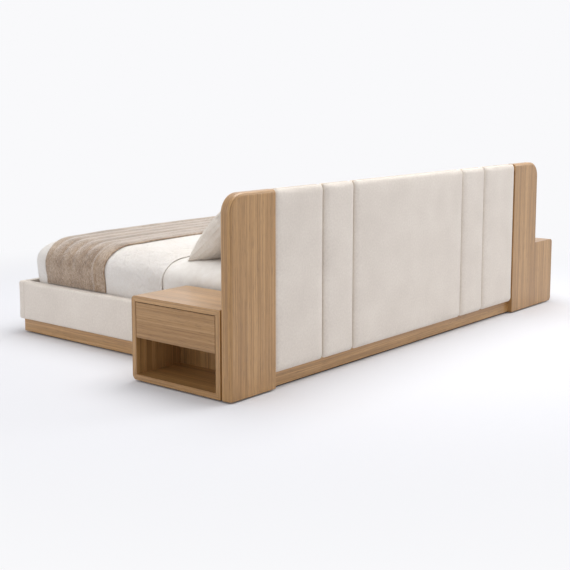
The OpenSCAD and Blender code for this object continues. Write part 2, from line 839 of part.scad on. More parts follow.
// Height of the mattress's crowned top at a place along the bed
function bed_height(y) = let (inset = mattress_y + mattress_end - y)
    mattress_top + crowned(max(0, (inset - edge_roll_w) / (mattress_end - edge_roll_w)));

function pillow_point(i, j, face, y, slope) = let (
        u = -cos(180 * i / pillow_cols),
        v = -cos(180 * j / pillow_rows),
        up = pillow_h / 2 * (1 + v) * (1 - draw_in * (1 - u * u) * (1 + v) / 2),
        out = face * pillow_t / 2 * swell(u, v),
        at_y = y + up * cos(slope) - out * sin(slope))
    [pillow_w / 2 * u * (1 - draw_in * (1 - v * v)), at_y,
     bed_height(at_y) + lift + max(0, up * sin(slope) + out * cos(slope))];

function is_rim(i, j) = i == 0 || j == 0 || i == pillow_cols || j == pillow_rows;

// The front and the back share the rim's points
module pillow(side, y, slope) {
    n = pillow_rows + 1;
    back = (pillow_cols + 1) * n;
    points = [for (face = [1, -1], i = [0:pillow_cols], j = [0:pillow_rows])
        pillow_point(i, j, face, y, slope)];
    back_number = [for (i = [0:pillow_cols], j = [0:pillow_rows]) (is_rim(i, j) ? 0 : back) + i * n + j];
    faces = concat(
        skin(pillow_cols + 1, n, spread = true),
        [for (tri = skin(pillow_cols + 1, n, flipped = true, spread = true)) [for (p = tri) back_number[p]]]
    );
    color(linen) in_bed() translate([side * (pillow_inner_x + pillow_w / 2), 0, 0]) polyhedron(points, faces);
}

// Section through a leaning pillow at column i, as [height, reach toward the headboard]
function lean_curve(i, slope, face) = [
    for (j = [3:pillow_rows]) let (p = pillow_point(i, j, face, 0, slope)) [p[2], p[1]]
];
inner_cols = [1:pillow_cols - 1];

// The rear pillows touch the headboard and the front ones touch the rear ones
rear_reach = max([for (i = inner_cols, p = lean_curve(i, rear_slope, -1)) p[1]]);
rear_y = -head_t - lift - rear_reach;
front_reach = max([for (i = inner_cols)
    let (back = lean_curve(i, front_slope, -1))
    for (p = lean_curve(i, rear_slope, 1)) lookup(p[0], back) - p[1]]);
front_y = rear_y - lift - front_reach;

module pillow_rear_left() pillow(1, rear_y, rear_slope);
module pillow_rear_right() pillow(-1, rear_y, rear_slope);
module pillow_front_left() pillow(1, front_y, front_slope);
module pillow_front_right() pillow(-1, front_y, front_slope);

headboard_core();
left_wing();
right_wing();
rear_outer_left_panel();
rear_narrow_left_panel();
rear_centre_panel();
rear_narrow_right_panel();
rear_outer_right_panel();
front_left_panels();
front_centre_panel();
front_right_panels();
headboard_base_rail();
headboard_toe();
panel_clips();
left_side_rail();
right_side_rail();
foot_rail();
left_plinth();
right_plinth();
foot_plinth();
left_toe();
right_toe();
foot_toe();
left_ledger();
right_ledger();
centre_beam();
centre_legs();
slats();
slat_caps();
frame_brackets();
frame_bolts();
mattress();
coverlet();
throw();
pillow_rear_left();
pillow_rear_right();
pillow_front_left();
pillow_front_right();
left_case_top();
left_case_bottom();
left_case_free_side();
left_case_fixed_side();
left_case_back();
left_case_toe();
left_cabinet_runners();
left_middle_runners();
left_drawer_runners();
left_drawer_front();
left_drawer_box();
right_case_top();
right_case_bottom();
right_case_free_side();
right_case_fixed_side();
right_case_back();
right_case_toe();
right_cabinet_runners();
right_middle_runners();
right_drawer_runners();
right_drawer_front();
right_drawer_box();
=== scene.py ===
import math

import bmesh
import bpy
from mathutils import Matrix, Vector, noise


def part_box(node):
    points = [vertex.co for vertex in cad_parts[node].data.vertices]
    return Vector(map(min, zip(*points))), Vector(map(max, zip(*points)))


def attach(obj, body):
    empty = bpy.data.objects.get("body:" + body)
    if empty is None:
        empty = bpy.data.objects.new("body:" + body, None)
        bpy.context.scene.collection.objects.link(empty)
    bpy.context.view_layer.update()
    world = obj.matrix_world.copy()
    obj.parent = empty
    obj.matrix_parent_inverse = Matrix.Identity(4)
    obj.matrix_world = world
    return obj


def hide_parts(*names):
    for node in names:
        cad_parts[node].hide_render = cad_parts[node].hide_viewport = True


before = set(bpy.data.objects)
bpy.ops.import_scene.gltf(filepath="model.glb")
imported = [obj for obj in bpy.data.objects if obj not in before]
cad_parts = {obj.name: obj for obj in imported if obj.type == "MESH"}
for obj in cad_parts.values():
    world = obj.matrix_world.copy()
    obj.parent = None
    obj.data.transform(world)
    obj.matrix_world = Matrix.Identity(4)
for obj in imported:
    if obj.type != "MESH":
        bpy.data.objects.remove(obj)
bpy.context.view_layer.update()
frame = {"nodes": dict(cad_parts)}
scene = bpy.context.scene
nodes = frame["nodes"]

# ---------- the studio ----------
# A pale sweep of floor under soft, even light, seen from behind the bed's left corner, as a
# furniture maker photographs the back of a headboard.

camera = bpy.data.objects.new("camera", bpy.data.cameras.new("camera"))
camera.location = (5.458, 4.523, 1.5055)
camera.rotation_euler = (math.radians(90 - 7.5), 0, math.radians(129.774))
camera.data.lens = 67.48
camera.data.sensor_width = 36
camera.data.shift_y = -0.0874
scene.collection.objects.link(camera)
scene.camera = camera
scene.view_settings.view_transform = "Standard"


def colour(code):
    """A #RRGGBB colour as a shader takes it"""
    shares = [int(code[i:i + 2], 16) / 255 for i in (1, 3, 5)]
    return tuple(s / 12.92 if s <= 0.04045 else ((s + 0.055) / 1.055) ** 2.4 for s in shares) + (1.0,)


def add(tree, kind, inputs=None, stops=None, **settings):
    """One node with its settings; each input is a value to set, a socket to link, or a node whose
    first output is linked"""
    made = tree.nodes.new(kind)
    for name, value in settings.items():
        setattr(made, name, value)
    for key, value in (inputs or {}).items():
        if isinstance(value, bpy.types.Node):
            value = value.outputs[0]
        if isinstance(value, bpy.types.NodeSocket):
            tree.links.new(value, made.inputs[key])
        else:
            made.inputs[key].default_value = value
    for i, (at, code) in enumerate(stops or []):
        ramp = made.color_ramp.elements
        stop = ramp[i] if i < 2 else ramp.new(at)
        stop.position, stop.color = at, colour(code)
    return made


def parts_of(material):
    """A material's node tree and its shader"""
    return material.node_tree, material.node_tree.nodes["Principled BSDF"]


def new_material(name):
    """An empty node material, its tree and its shader"""
    material = bpy.data.materials.new(name)
    material.use_nodes = True
    return material, *parts_of(material)


def seen_directly(tree):
    """1 where the camera sees a surface itself, in a shine or through glass, and 0 in its light"""
    ray = add(tree, "ShaderNodeLightPath")
    seen = add(tree, "ShaderNodeMath", {0: ray.outputs["Is Camera Ray"], 1: ray.outputs["Is Glossy Ray"]},
            operation="MAXIMUM")
    return add(tree, "ShaderNodeMath", {0: seen, 1: ray.outputs["Is Transmission Ray"]},
            operation="MAXIMUM")


# Matt white studio vinyl: the eye sees plain white, with the shadow of what stands on it.
# Past the edge of the set it is the backdrop's own white.
studio_floor, tree, shader = new_material("studio_floor_vinyl")
tree.nodes.remove(shader)
place = add(tree, "ShaderNodeTexCoord")
away = add(tree, "ShaderNodeVectorMath", {0: place.outputs["Object"]}, operation="LENGTH")
edge = add(tree, "ShaderNodeMapRange", {"Value": away.outputs["Value"], "From Min": 1.9, "From Max": 4.2,
        "To Min": 0.0, "To Max": 1.0}, interpolation_type="SMOOTHSTEP")
seen = seen_directly(tree)
share = add(tree, "ShaderNodeMath", {0: edge.outputs["Result"], 1: seen}, operation="MULTIPLY")
matt = add(tree, "ShaderNodeBsdfDiffuse", {"Color": colour("#E3E3E6")})
white = add(tree, "ShaderNodeEmission", {"Color": colour("#F9F9FB"), "Strength": 1.0})
blend = add(tree, "ShaderNodeMixShader", {0: share, 1: matt, 2: white})
tree.links.new(blend.outputs[0], tree.nodes["Material Output"].inputs["Surface"])

bpy.ops.mesh.primitive_plane_add(size=120)
floor = bpy.context.object
floor.name = "studio_floor"
floor.data.materials.append(studio_floor)

world = bpy.data.worlds.new("studio")
scene.world = world
world.use_nodes = True
tree = world.node_tree
seen = seen_directly(tree)
fill = add(tree, "ShaderNodeBackground", {"Color": colour("#F6F7FA"), "Strength": 0.74})
white = add(tree, "ShaderNodeBackground", {"Color": colour("#F9F9FB"), "Strength": 1.0})
blend = add(tree, "ShaderNodeMixShader", {0: seen, 1: fill, 2: white})
tree.links.new(blend.outputs[0], tree.nodes["World Output"].inputs["Surface"])


def lamp(name, at, toward, size, power):
    """A soft box that hangs at a point and faces another"""
    light = bpy.data.lights.new(name, "AREA")
    light.shape, light.size, light.energy = "DISK", size, power
    made = bpy.data.objects.new(name, light)
    made.location = at
    made.rotation_euler = (Vector(toward) - Vector(at)).to_track_quat("-Z", "Y").to_euler()
    scene.collection.objects.link(made)


lamp("overhead_softbox", (-0.4, 0.6, 5.2), (0, 0, 0.4), 4.6, 206)
lamp("rear_softbox", (-6.0, 4.4, 4.2), (-0.2, 1.0, 0.6), 2.6, 94)
lamp("side_softbox", (7.0, -1.5, 2.4), (1.2, 0.0, 0.4), 3.5, 34)

# ---------- headboard core ----------
# Two layers of upholstered panels hang on a thin core of plywood that joins the wings. The
# board is raw; steel clips in its face take the panels.


def cover(material, *names):
    """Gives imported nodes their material"""
    for name in names:
        for place in nodes[name].material_slots:
            place.material = material


def grained(name, along, tones, wide, fine, ring, tone_size, pore, roughness, path=None, coat=0.0):
    """Straight-grained timber. along is the grain's axis, 0 to 2; tones run dark to light; wide and
    fine are streak widths in metres, ring the spacing of its dark growth lines, tone_size the
    width of a whole leaf of veneer, and coat the share of a clear lacquer"""
    material, tree, shader = new_material(name)
    spot = path(tree) if path else add(tree, "ShaderNodeTexCoord").outputs["Object"]
    drift = add(tree, "ShaderNodeTexNoise", {"Vector": spot, "Scale": 2.2, "Detail": 1.0})
    drift = add(tree, "ShaderNodeVectorMath", {0: drift.outputs["Color"], 1: (0.012,) * 3, 2: spot},
            operation="MULTIPLY_ADD")

    def stretched(width, length):
        scale = [1 / width] * 3
        scale[along] = 1 / length
        return add(tree, "ShaderNodeVectorMath", {0: drift, 1: scale}, operation="MULTIPLY")

    leaf = add(tree, "ShaderNodeTexVoronoi", {"Vector": stretched(tone_size, 30.0), "Scale": 1.0},
            feature="F1")
    leaf_tone = add(tree, "ShaderNodeSeparateColor", {0: leaf.outputs["Color"]})
    broad = add(tree, "ShaderNodeTexNoise", {"Vector": stretched(wide, 2.4), "Scale": 1.0, "Detail": 2.0})
    narrow = add(tree, "ShaderNodeTexNoise", {"Vector": stretched(fine, 0.9), "Scale": 1.0, "Detail": 4.0,
            "Roughness": 0.6})
    streak = add(tree, "ShaderNodeMath", {0: broad, 1: 0.6, 2: narrow}, operation="MULTIPLY_ADD")
    streak = add(tree, "ShaderNodeMath", {0: leaf_tone, 1: 0.16, 2: streak}, operation="MULTIPLY_ADD")
    tint = add(tree, "ShaderNodeMapRange", {"Value": streak, "From Min": 0.62, "From Max": 1.14})
    tint = add(tree, "ShaderNodeValToRGB", {0: tint}, stops=[(0.0, tones[0]), (1.0, tones[2]),
            (0.5, tones[1])])
    pores = add(tree, "ShaderNodeTexNoise", {"Vector": stretched(0.0032, 0.06), "Scale": 1.0,
            "Detail": 2.0})
    pores = add(tree, "ShaderNodeMapRange", {"Value": pores, "From Min": 0.55, "From Max": 0.68})
    rings = add(tree, "ShaderNodeTexNoise", {"Vector": stretched(ring, 2.4), "Scale": 1.0, "Detail": 1.0})
    rings = add(tree, "ShaderNodeMapRange", {"Value": rings, "From Min": 0.53, "From Max": 0.6,
            "To Max": 0.17}, interpolation_type="SMOOTHSTEP")
    dark = add(tree, "ShaderNodeMath", {0: pores, 1: pore, 2: rings}, operation="MULTIPLY_ADD",
            use_clamp=True)
    wood = add(tree, "ShaderNodeMix", {0: dark, 6: tint, 7: colour(tones[3])}, data_type="RGBA")
    tree.links.new(wood.outputs[2], shader.inputs["Base Color"])
    rough = add(tree, "ShaderNodeMapRange", {"Value": narrow, "From Min": 0.3, "From Max": 0.7,
            "To Min": roughness + 0.05, "To Max": roughness - 0.05})
    tree.links.new(rough.outputs[0], shader.inputs["Roughness"])
    height = add(tree, "ShaderNodeMath", {0: pores, 1: -0.6, 2: narrow}, operation="MULTIPLY_ADD")
    relief = add(tree, "ShaderNodeBump", {"Height": height, "Distance": 0.0003, "Strength": 0.5})
    tree.links.new(relief.outputs[0], shader.inputs["Normal"])
    shader.inputs["IOR"].default_value = 1.5
    shader.inputs["Specular IOR Level"].default_value = 0.5
    shader.inputs["Coat Weight"].default_value = coat
    shader.inputs["Coat Roughness"].default_value = 0.28
    return material


# Raw birch plywood: pale, faintly streaked, dry to the touch.
core_plywood = grained("birch_plywood_core", 2, ("#B79F7E", "#C6B08F", "#D3BF9F", "#A58D6B"), wide=0.05,
        fine=0.012, ring=0.03, tone_size=0.4, pore=0.25, roughness=0.75)
cover(core_plywood, "headboard_core")


def hard_surface(name, code, roughness, cloud=0.03, grit=1 / 700, depth=0.0001, metal=0.0):
    """Metal, plastic or paint in an even colour, a little cloudy, with a fine grit. cloud, grit and
    its depth are sizes in metres"""
    material, tree, shader = new_material(name)
    spot = add(tree, "ShaderNodeTexCoord")
    mist = add(tree, "ShaderNodeTexNoise", {"Vector": spot.outputs["Object"], "Scale": 1 / cloud,
            "Detail": 3.0})
    rough = add(tree, "ShaderNodeMapRange", {"Value": mist, "From Min": 0.3, "From Max": 0.7,
            "To Min": roughness - 0.06, "To Max": roughness + 0.08})
    tree.links.new(rough.outputs[0], shader.inputs["Roughness"])
    tint = add(tree, "ShaderNodeHueSaturation", {"Color": colour(code)})
    value = add(tree, "ShaderNodeMapRange", {"Value": mist, "From Min": 0.3, "From Max": 0.7,
            "To Min": 0.93, "To Max": 1.06})
    tree.links.new(value.outputs[0], tint.inputs["Value"])
    tree.links.new(tint.outputs[0], shader.inputs["Base Color"])
    grain = add(tree, "ShaderNodeTexNoise", {"Vector": spot.outputs["Object"], "Scale": 1 / grit,
            "Detail": 1.0})
    relief = add(tree, "ShaderNodeBump", {"Height": grain, "Distance": depth, "Strength": 0.25})
    tree.links.new(relief.outputs[0], shader.inputs["Normal"])
    shader.inputs["Metallic"].default_value = metal
    return material


# Zinc-plated steel: a grey metal with a cool, slightly cloudy shine.
zinc_steel = hard_surface("zinc_plated_steel", "#B9BCC0", 0.36, cloud=0.02, metal=1.0)
cover(zinc_steel, "panel_clips")

# ---------- upholstered panels ----------
# Each panel is a slab of foam on a board, wrapped in brushed microsuede that is pulled round
# the edges and stapled behind. The face is a little full and its edges roll over softly.


def woven(name, tones, patch, mottle, thread, depth, roughness, sheen, uv=None, stretch=(1, 1, 1)):
    """Cloth with a mottled tone. patch and mottle are the sizes of its tonal clouds and thread its
    yarn, all in metres; stretch draws the mottle out along an axis; uv names a map to follow"""
    material, tree, shader = new_material(name)
    spot = add(tree, "ShaderNodeUVMap", uv_map=uv) if uv else add(tree, "ShaderNodeTexCoord")
    spot = spot.outputs["UV" if uv else "Object"]
    drawn = add(tree, "ShaderNodeVectorMath", {0: spot, 1: stretch}, operation="MULTIPLY")
    clouds = add(tree, "ShaderNodeTexNoise", {"Vector": spot, "Scale": 1 / patch, "Detail": 2.0})
    flecks = add(tree, "ShaderNodeTexNoise", {"Vector": drawn, "Scale": 1 / mottle, "Detail": 4.0,
            "Roughness": 0.65})
    tone = add(tree, "ShaderNodeMath", {0: clouds, 1: 0.7, 2: flecks}, operation="MULTIPLY_ADD")
    tone = add(tree, "ShaderNodeMapRange", {"Value": tone, "From Min": 0.58, "From Max": 1.12})
    tone = add(tree, "ShaderNodeValToRGB", {0: tone}, stops=[(0.0, tones[0]), (1.0, tones[2]),
            (0.5, tones[1])])
    tree.links.new(tone.outputs[0], shader.inputs["Base Color"])
    bands = {"Vector": spot, "Scale": 0.31 / thread, "Distortion": 1.2, "Detail": 1.0,
            "Detail Scale": 2.0}
    warp = add(tree, "ShaderNodeTexWave", bands, bands_direction="X")
    weft = add(tree, "ShaderNodeTexWave", bands, bands_direction="Y" if uv else "Z")
    yarn = add(tree, "ShaderNodeMath", {0: warp.outputs[1], 1: weft.outputs[1]}, operation="ADD")
    yarn = add(tree, "ShaderNodeMath", {0: flecks, 1: 1.6, 2: yarn}, operation="MULTIPLY_ADD")
    relief = add(tree, "ShaderNodeBump", {"Height": yarn, "Distance": depth, "Strength": 0.6})
    tree.links.new(relief.outputs[0], shader.inputs["Normal"])
    shader.inputs["Roughness"].default_value = roughness
    shader.inputs["Specular IOR Level"].default_value = 0.25
    shader.inputs["Sheen Weight"].default_value = sheen
    shader.inputs["Sheen Roughness"].default_value = 0.35
    return material


# Brushed polyester microsuede: a short matt nap in cream that clouds where it is stroked. Its
# nap is drawn at 2 mm, coarser than life, so that it shows.
cream_suede = woven("cream_microsuede", ("#DCD2C7", "#E3D9CE", "#EAE1D6"), patch=0.22, mottle=0.012,
        thread=0.002, depth=0.0004, roughness=0.88, sheen=0.3)


def creased(material, across, along, depth):
    """Adds soft creases to a cloth: one about every across metres, along metres long"""
    tree, shader = parts_of(material)
    spot = add(tree, "ShaderNodeUVMap", uv_map="cloth")
    spot = add(tree, "ShaderNodeMapping", {"Vector": spot, "Scale": (1 / across, 1 / along, 1.0)})
    folds = add(tree, "ShaderNodeTexNoise", {"Vector": spot, "Scale": 1.0, "Detail": 2.5,
            "Distortion": 0.6})
    weave = shader.inputs["Normal"].links[0].from_socket
    bump = add(tree, "ShaderNodeBump", {"Height": folds, "Distance": depth, "Strength": 1.0,
            "Normal": weave})
    tree.links.new(bump.outputs[0], shader.inputs["Normal"])


def lattice(rows, columns, first=0, ring=False):
    """Faces of a skin over rows of points"""
    last = columns if ring else columns - 1
    return [(first + k * columns + i, first + k * columns + (i + 1) % columns,
            first + (k + 1) * columns + (i + 1) % columns, first + (k + 1) * columns + i)
            for k in range(rows - 1) for i in range(last)]


def sewn(name, points, faces, material, uv=None):
    """A cloth-covered piece from points and faces, with its map if it has one. A closed one is
    turned to face outward"""
    mesh = bpy.data.meshes.new(name)
    mesh.from_pydata([tuple(p) for p in points], [], faces)
    if uv:
        layer = mesh.uv_layers.new(name="cloth")
        for loop in mesh.loops:
            layer.data[loop.index].uv = uv[loop.vertex_index]
    tidy = bmesh.new()
    tidy.from_mesh(mesh)
    bmesh.ops.remove_doubles(tidy, verts=tidy.verts, dist=1e-6)
    bmesh.ops.recalc_face_normals(tidy, faces=tidy.faces)
    if all(edge.is_manifold for edge in tidy.edges) and tidy.calc_volume(signed=True) < 0:
        bmesh.ops.reverse_faces(tidy, faces=tidy.faces)
    tidy.to_mesh(mesh)
    tidy.free()
    mesh.polygons.foreach_set("use_smooth", [True] * len(mesh.polygons))
    mesh.materials.append(material)
    made = bpy.data.objects.new(name, mesh)
    scene.collection.objects.link(made)
    return made


def simulated(piece, steps, **settings):
    """Where a piece's points are after some steps as cloth without gravity"""
    cloth = piece.modifiers.new("cloth", "CLOTH")
    cloth.collision_settings.use_collision = False
    for name, value in settings.items():
        setattr(cloth.settings, name, value)
    cloth.settings.effector_weights.gravity = 0.0
    for step in range(1, steps + 1):
        scene.frame_set(step)
    shaped = piece.evaluated_get(bpy.context.evaluated_depsgraph_get()).data
    after = [v.co.copy() for v in shaped.vertices]
    piece.modifiers.remove(cloth)
    scene.frame_set(1)
    return after


def smoothed(piece):
    """Adds one level of smoothing to a piece"""
    smooth = piece.modifiers.new("smooth", "SUBSURF")
    smooth.levels = smooth.render_levels = 1


def fill_out(piece, cap, held, pressure=4.0, slack=0.0):
    """Lets a piece's cloth fill out under a little air pressure, with every point kept within cap
    of where it was cut, and smooths it. held says which points stay where they are, and slack is
    the spare cloth as a share"""
    start = [v.co.copy() for v in piece.data.vertices]
    group = piece.vertex_groups.new(name="held")
    group.add([i for i, p in enumerate(start) if held(p)], 1.0, "REPLACE")
    after = simulated(piece, 20, quality=4, mass=0.3, use_pressure=True,
            uniform_pressure_force=pressure, shrink_min=-slack, vertex_group_mass="held")
    piece.vertex_groups.clear()
    for v, before, now in zip(piece.data.vertices, start, after):
        move = now - before
        if move.length > 1e-9:
            move *= cap * math.tanh(move.length / cap) / move.length
        v.co = before + move
    smoothed(piece)


def spaced(low, high, edge, step=0.03):
    """Places from low to high: close together within edge of either end, then a step apart"""
    close = [edge * s for s in (0.0, 0.08, 0.24, 0.45, 0.7, 1.0)]
    count = max(2, round((high - low - 2 * edge) / step))
    middle = [low + edge + (high - low - 2 * edge) * i / count for i in range(1, count)]
    return [low + c for c in close] + middle + [high - c for c in reversed(close)]


crown_reach = 0.09


def pad(name, low, high, out, roll, reach, crown):
    """An upholstered board between low and high: its back lies flat and its face looks along y by
    out, 1 or -1, crowned from crown_reach inward. Its edges fall away by roll, over the reach
    next to them"""
    us, vs = spaced(low.x, high.x, reach), spaced(low.z, high.z, reach)
    back = low.y if out > 0 else high.y
    thick = high.y - low.y

    def point(u, v, height):
        return Vector((u, back + out * height, v))

    def from_edges(u, v):
        return min(u - us[0], us[-1] - u), min(v - vs[0], vs[-1] - v)

    def rise(u, v):
        du, dv = from_edges(u, v)
        fall = math.hypot(max(0, 1 - du / reach), max(0, 1 - dv / reach))
        edge = roll * (1 - math.sqrt(max(0, 1 - min(1, fall) ** 2)))
        full = min(1, du / crown_reach) ** 0.5 * min(1, dv / crown_reach) ** 0.5
        return thick - edge + crown * full

    def inside(u, v):
        """The outline's corner rounded in plan, as the face's is"""
        du, dv = from_edges(u, v)
        far = math.hypot(roll - du, roll - dv)
        if du < roll and dv < roll and far > roll:
            mu = us[0] + roll if u - us[0] < roll else us[-1] - roll
            mv = vs[0] + roll if v - vs[0] < roll else vs[-1] - roll
            u, v = mu + (u - mu) * roll / far, mv + (v - mv) * roll / far
        return u, v

    grid = [inside(u, v) for v in vs for u in us]
    face = [point(u, v, rise(u, v)) for u, v in grid]
    rear = [point(u, v, 0) for u, v in grid]
    n, m = len(us), len(vs)
    faces = lattice(m, n) + [tuple(reversed(f)) for f in lattice(m, n, n * m)]
    rim = (list(range(n)) + [k * n + n - 1 for k in range(1, m)]
            + [(m - 1) * n + i for i in range(n - 2, -1, -1)] + [k * n for k in range(m - 2, 0, -1)])
    wall = [point(*grid[i], (thick - roll) / 2) for i in rim]
    base = 2 * n * m
    for k, i in enumerate(rim):
        j, b = (k + 1) % len(rim), rim[(k + 1) % len(rim)]
        faces += [(i, b, base + j, base + k), (base + k, base + j, n * m + b, n * m + i)]
    made = sewn(name, face + rear + wall, faces, cream_suede)
    fill_out(made, 0.002, held=lambda p: abs(p.y - back) < thick - roll + 0.001, slack=0.004)
    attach(made, "bed")
    return made


edge_roll, edge_reach = 0.016, 0.032
pad_gap = Vector((0.003, 0, 0))
pad_crown = 0.003
rear = {"rear_outer_left_panel": "outer_left_pad", "rear_narrow_left_panel": "narrow_left_pad",
        "rear_centre_panel": "centre_pad", "rear_narrow_right_panel": "narrow_right_pad",
        "rear_outer_right_panel": "outer_right_pad"}
behind = []
for node, name in rear.items():
    low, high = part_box(node)
    behind.append((low.x, high.x))
    made = pad("rear_" + name, low + pad_gap, high - pad_gap, 1, edge_roll, edge_reach, pad_crown)
    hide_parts(node)

front = {"front_left_panels": (0, 1), "front_centre_panel": (2,), "front_right_panels": (3, 4)}
for node, strips in front.items():
    low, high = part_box(node)
    for i in strips:
        low.x, high.x = behind[i]
        name = "front_" + list(rear.values())[i]
        made = pad(name, low + pad_gap, high - pad_gap, -1, edge_roll, edge_reach, pad_crown)
        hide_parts(node)


# ---------- wings ----------
# Oak-veneered boards at the two ends of the headboard, grain upright. A strip of the same
# veneer is wrapped round each outer edge and its round corner. The right one carries a
# shoulder that backs its nightstand.

# Straight-grained oak veneer under a matt clear lacquer: warm mid brown with darker streaks a
# finger wide, and short open pores. The pores are drawn at 3 mm, wider than life, to show.


def oak(name, along, path=None, coat=0.45):
    """The bed's oak veneer, its grain along an axis or following a path"""
    return grained("oak_veneer_" + name, along, ("#8E673B", "#B18652", "#C79D6A", "#5C4022"), wide=0.035,
            fine=0.006, ring=0.01, tone_size=0.16, pore=0.35, roughness=0.42, path=path, coat=coat)


def round_the_corner(side, centre_x, centre_z):
    """Follows the strip of veneer on a wing's outer edge: out from the corner's centre, across
    the thickness and along the strip. The flat faces keep their own upright grain"""
    def path(tree):
        spot = add(tree, "ShaderNodeTexCoord").outputs["Object"]
        place = add(tree, "ShaderNodeSeparateXYZ", {0: spot})
        x = add(tree, "ShaderNodeMath", {0: place.outputs["X"], 1: side, 2: -side * centre_x},
                operation="MULTIPLY_ADD")
        x = add(tree, "ShaderNodeMath", {0: x, 1: 0.0}, operation="MAXIMUM")
        z = add(tree, "ShaderNodeMath", {0: place.outputs["Z"], 1: centre_z}, operation="SUBTRACT")
        z = add(tree, "ShaderNodeMath", {0: z, 1: 0.0}, operation="MAXIMUM")
        out = add(tree, "ShaderNodeCombineXYZ", {0: x, 1: z})
        out = add(tree, "ShaderNodeVectorMath", {0: out}, operation="LENGTH")
        run = add(tree, "ShaderNodeMath", {0: place.outputs["X"], 1: -side, 2: place.outputs["Z"]},
                operation="MULTIPLY_ADD")
        strip = add(tree, "ShaderNodeCombineXYZ", {0: out.outputs["Value"], 1: place.outputs["Y"],
                2: run})
        surface = add(tree, "ShaderNodeNewGeometry")
        facing = add(tree, "ShaderNodeSeparateXYZ", {0: surface.outputs["Normal"]})
        flat = add(tree, "ShaderNodeMath", {0: facing.outputs["Y"]}, operation="ABSOLUTE")
        flat = add(tree, "ShaderNodeMath", {0: flat, 1: 0.93}, operation="GREATER_THAN")
        return add(tree, "ShaderNodeMix", {0: flat, 4: strip, 5: spot}, data_type="VECTOR").outputs[1]
    return path


wing_corner, shoulder = 0.1, 0.25
for side, name in ((1, "left_wing"), (-1, "right_wing")):
    low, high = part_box(name)
    end = high.x if side > 0 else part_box("right_side_rail")[0].x - (high.x - low.x) + shoulder
    cover(oak(name, 2, round_the_corner(side, end - side * wing_corner, high.z - wing_corner)), name)

# ---------- base rail and plinths ----------
# Solid-looking oak-veneered boards on edge, set back under the headboard and the rails, with
# their grain lying along them. Black toes under them lift everything off the floor.

oak_along_x = oak("along_the_headboard", 0)
oak_along_y = oak("along_the_bed", 1)
cover(oak_along_x, "headboard_base_rail", "foot_plinth")
cover(oak_along_y, "left_plinth", "right_plinth")

# Fibreboard painted matt black: it reads as a shadow gap.
toe_black = hard_surface("black_painted_fibreboard", "#1B1A1A", 0.7, grit=0.002)
cover(toe_black, "headboard_toe", "left_toe", "right_toe", "foot_toe", "left_case_toe", "right_case_toe")

# ---------- side rails and foot rail ----------
# Beech boards padded all round and wrapped in the headboard's microsuede. The side rails butt
# against the headboard and against the foot rail, where the cloth turns in and makes a seam.

bed_x = (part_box("left_side_rail")[1].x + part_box("right_side_rail")[0].x) / 2
rail_roll, rail_crown = 0.014, 0.002
cloth_step = 0.027

for side, name in ((1, "left_side_rail"), (-1, "right_side_rail")):
    low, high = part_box(name)
    corners = ((high.x - rail_roll, high.z - rail_roll), (low.x + rail_roll, high.z - rail_roll),
            (low.x + rail_roll, low.z + rail_roll), (high.x - rail_roll, low.z + rail_roll))
    outline = []
    for k in range(4):
        turns = [math.radians(90 * (k + i / 5)) for i in range(6)]
        outline += [(corners[k][0] + rail_roll * math.cos(a), corners[k][1] + rail_roll * math.sin(a))
                for a in turns]
        (x, z), (next_x, next_z) = outline[-1], corners[(k + 1) % 4]
        to_x, to_z = next_x + rail_roll * math.cos(turns[-1]), next_z + rail_roll * math.sin(turns[-1])
        count = max(1, round(math.hypot(to_x - x, to_z - z) / cloth_step))
        outline += [(x + (to_x - x) * i / count, z + (to_z - z) * i / count) for i in range(1, count)]
    face = high.x if side > 0 else low.x
    mid_z, half = (low.z + high.z) / 2, (high.z - low.z) / 2
    ys = spaced(low.y, high.y, 0.008)
    points = []
    for y in ys:
        end = min(y - low.y, high.y - y)
        pull = 0.003 * max(0, 1 - end / 0.004) ** 1.5
        for x, z in outline:
            full = 0
            if abs(x - face) < 1e-6:
                full = rail_crown * (1 - ((z - mid_z) / half) ** 4) * min(1, end / 0.05)
            in_x, in_z = (low.x + high.x) / 2 - x, mid_z - z
            points.append(Vector((x + side * full + math.copysign(pull, in_x), y,
                    z + math.copysign(pull, in_z))))
    n = len(outline)
    faces = lattice(len(ys), n, ring=True)
    faces += [tuple(range(n))[::-1], tuple(range(n * (len(ys) - 1), n * len(ys)))]
    rail = sewn(name + "_cover", points, faces, cream_suede)
    near_end, off_face = 0.02, 0.03
    fill_out(rail, 0.0015, slack=0.003, held=lambda p: min(p.y - low.y, high.y - p.y) < near_end
            or abs(p.x - face) > off_face)
    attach(rail, "bed")
    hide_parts(name)

low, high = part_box("foot_rail")
foot = pad("foot_rail_cover", low, high, -1, rail_roll, 0.018, rail_crown)
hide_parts("foot_rail")

# ---------- slat bed ----------
# Sprung beech slats lie in nylon caps on ledgers screwed to the side rails, and on a steel
# beam that stands on three legs. Angle brackets and bolts hold the corners.

# Clear beech: pale pinkish brown, close-grained with short flecks.
for name, along, covered in (("", 0, ["slats"]), ("_ledger", 1, ["left_ledger", "right_ledger"])):
    beech = grained("clear_beech" + name, along, ("#C59F77", "#D3B08A", "#DEC09D", "#A87F58"), wide=0.03,
            fine=0.008, ring=0.02, tone_size=0.09, pore=0.3, roughness=0.5)
    cover(beech, *covered)

# Moulded nylon: near black, with a satin spark-eroded grain.
nylon = hard_surface("black_moulded_nylon", "#222224", 0.48, grit=0.0012, depth=0.00008)
cover(nylon, "slat_caps")

# Powder-coated steel: black with the fine orange peel of baked paint.
black_steel = hard_surface("black_powder_coated_steel", "#2A2A2C", 0.42, grit=0.0025, depth=0.00012)
cover(black_steel, "centre_beam", "centre_legs")
cover(zinc_steel, "frame_brackets", "frame_bolts")

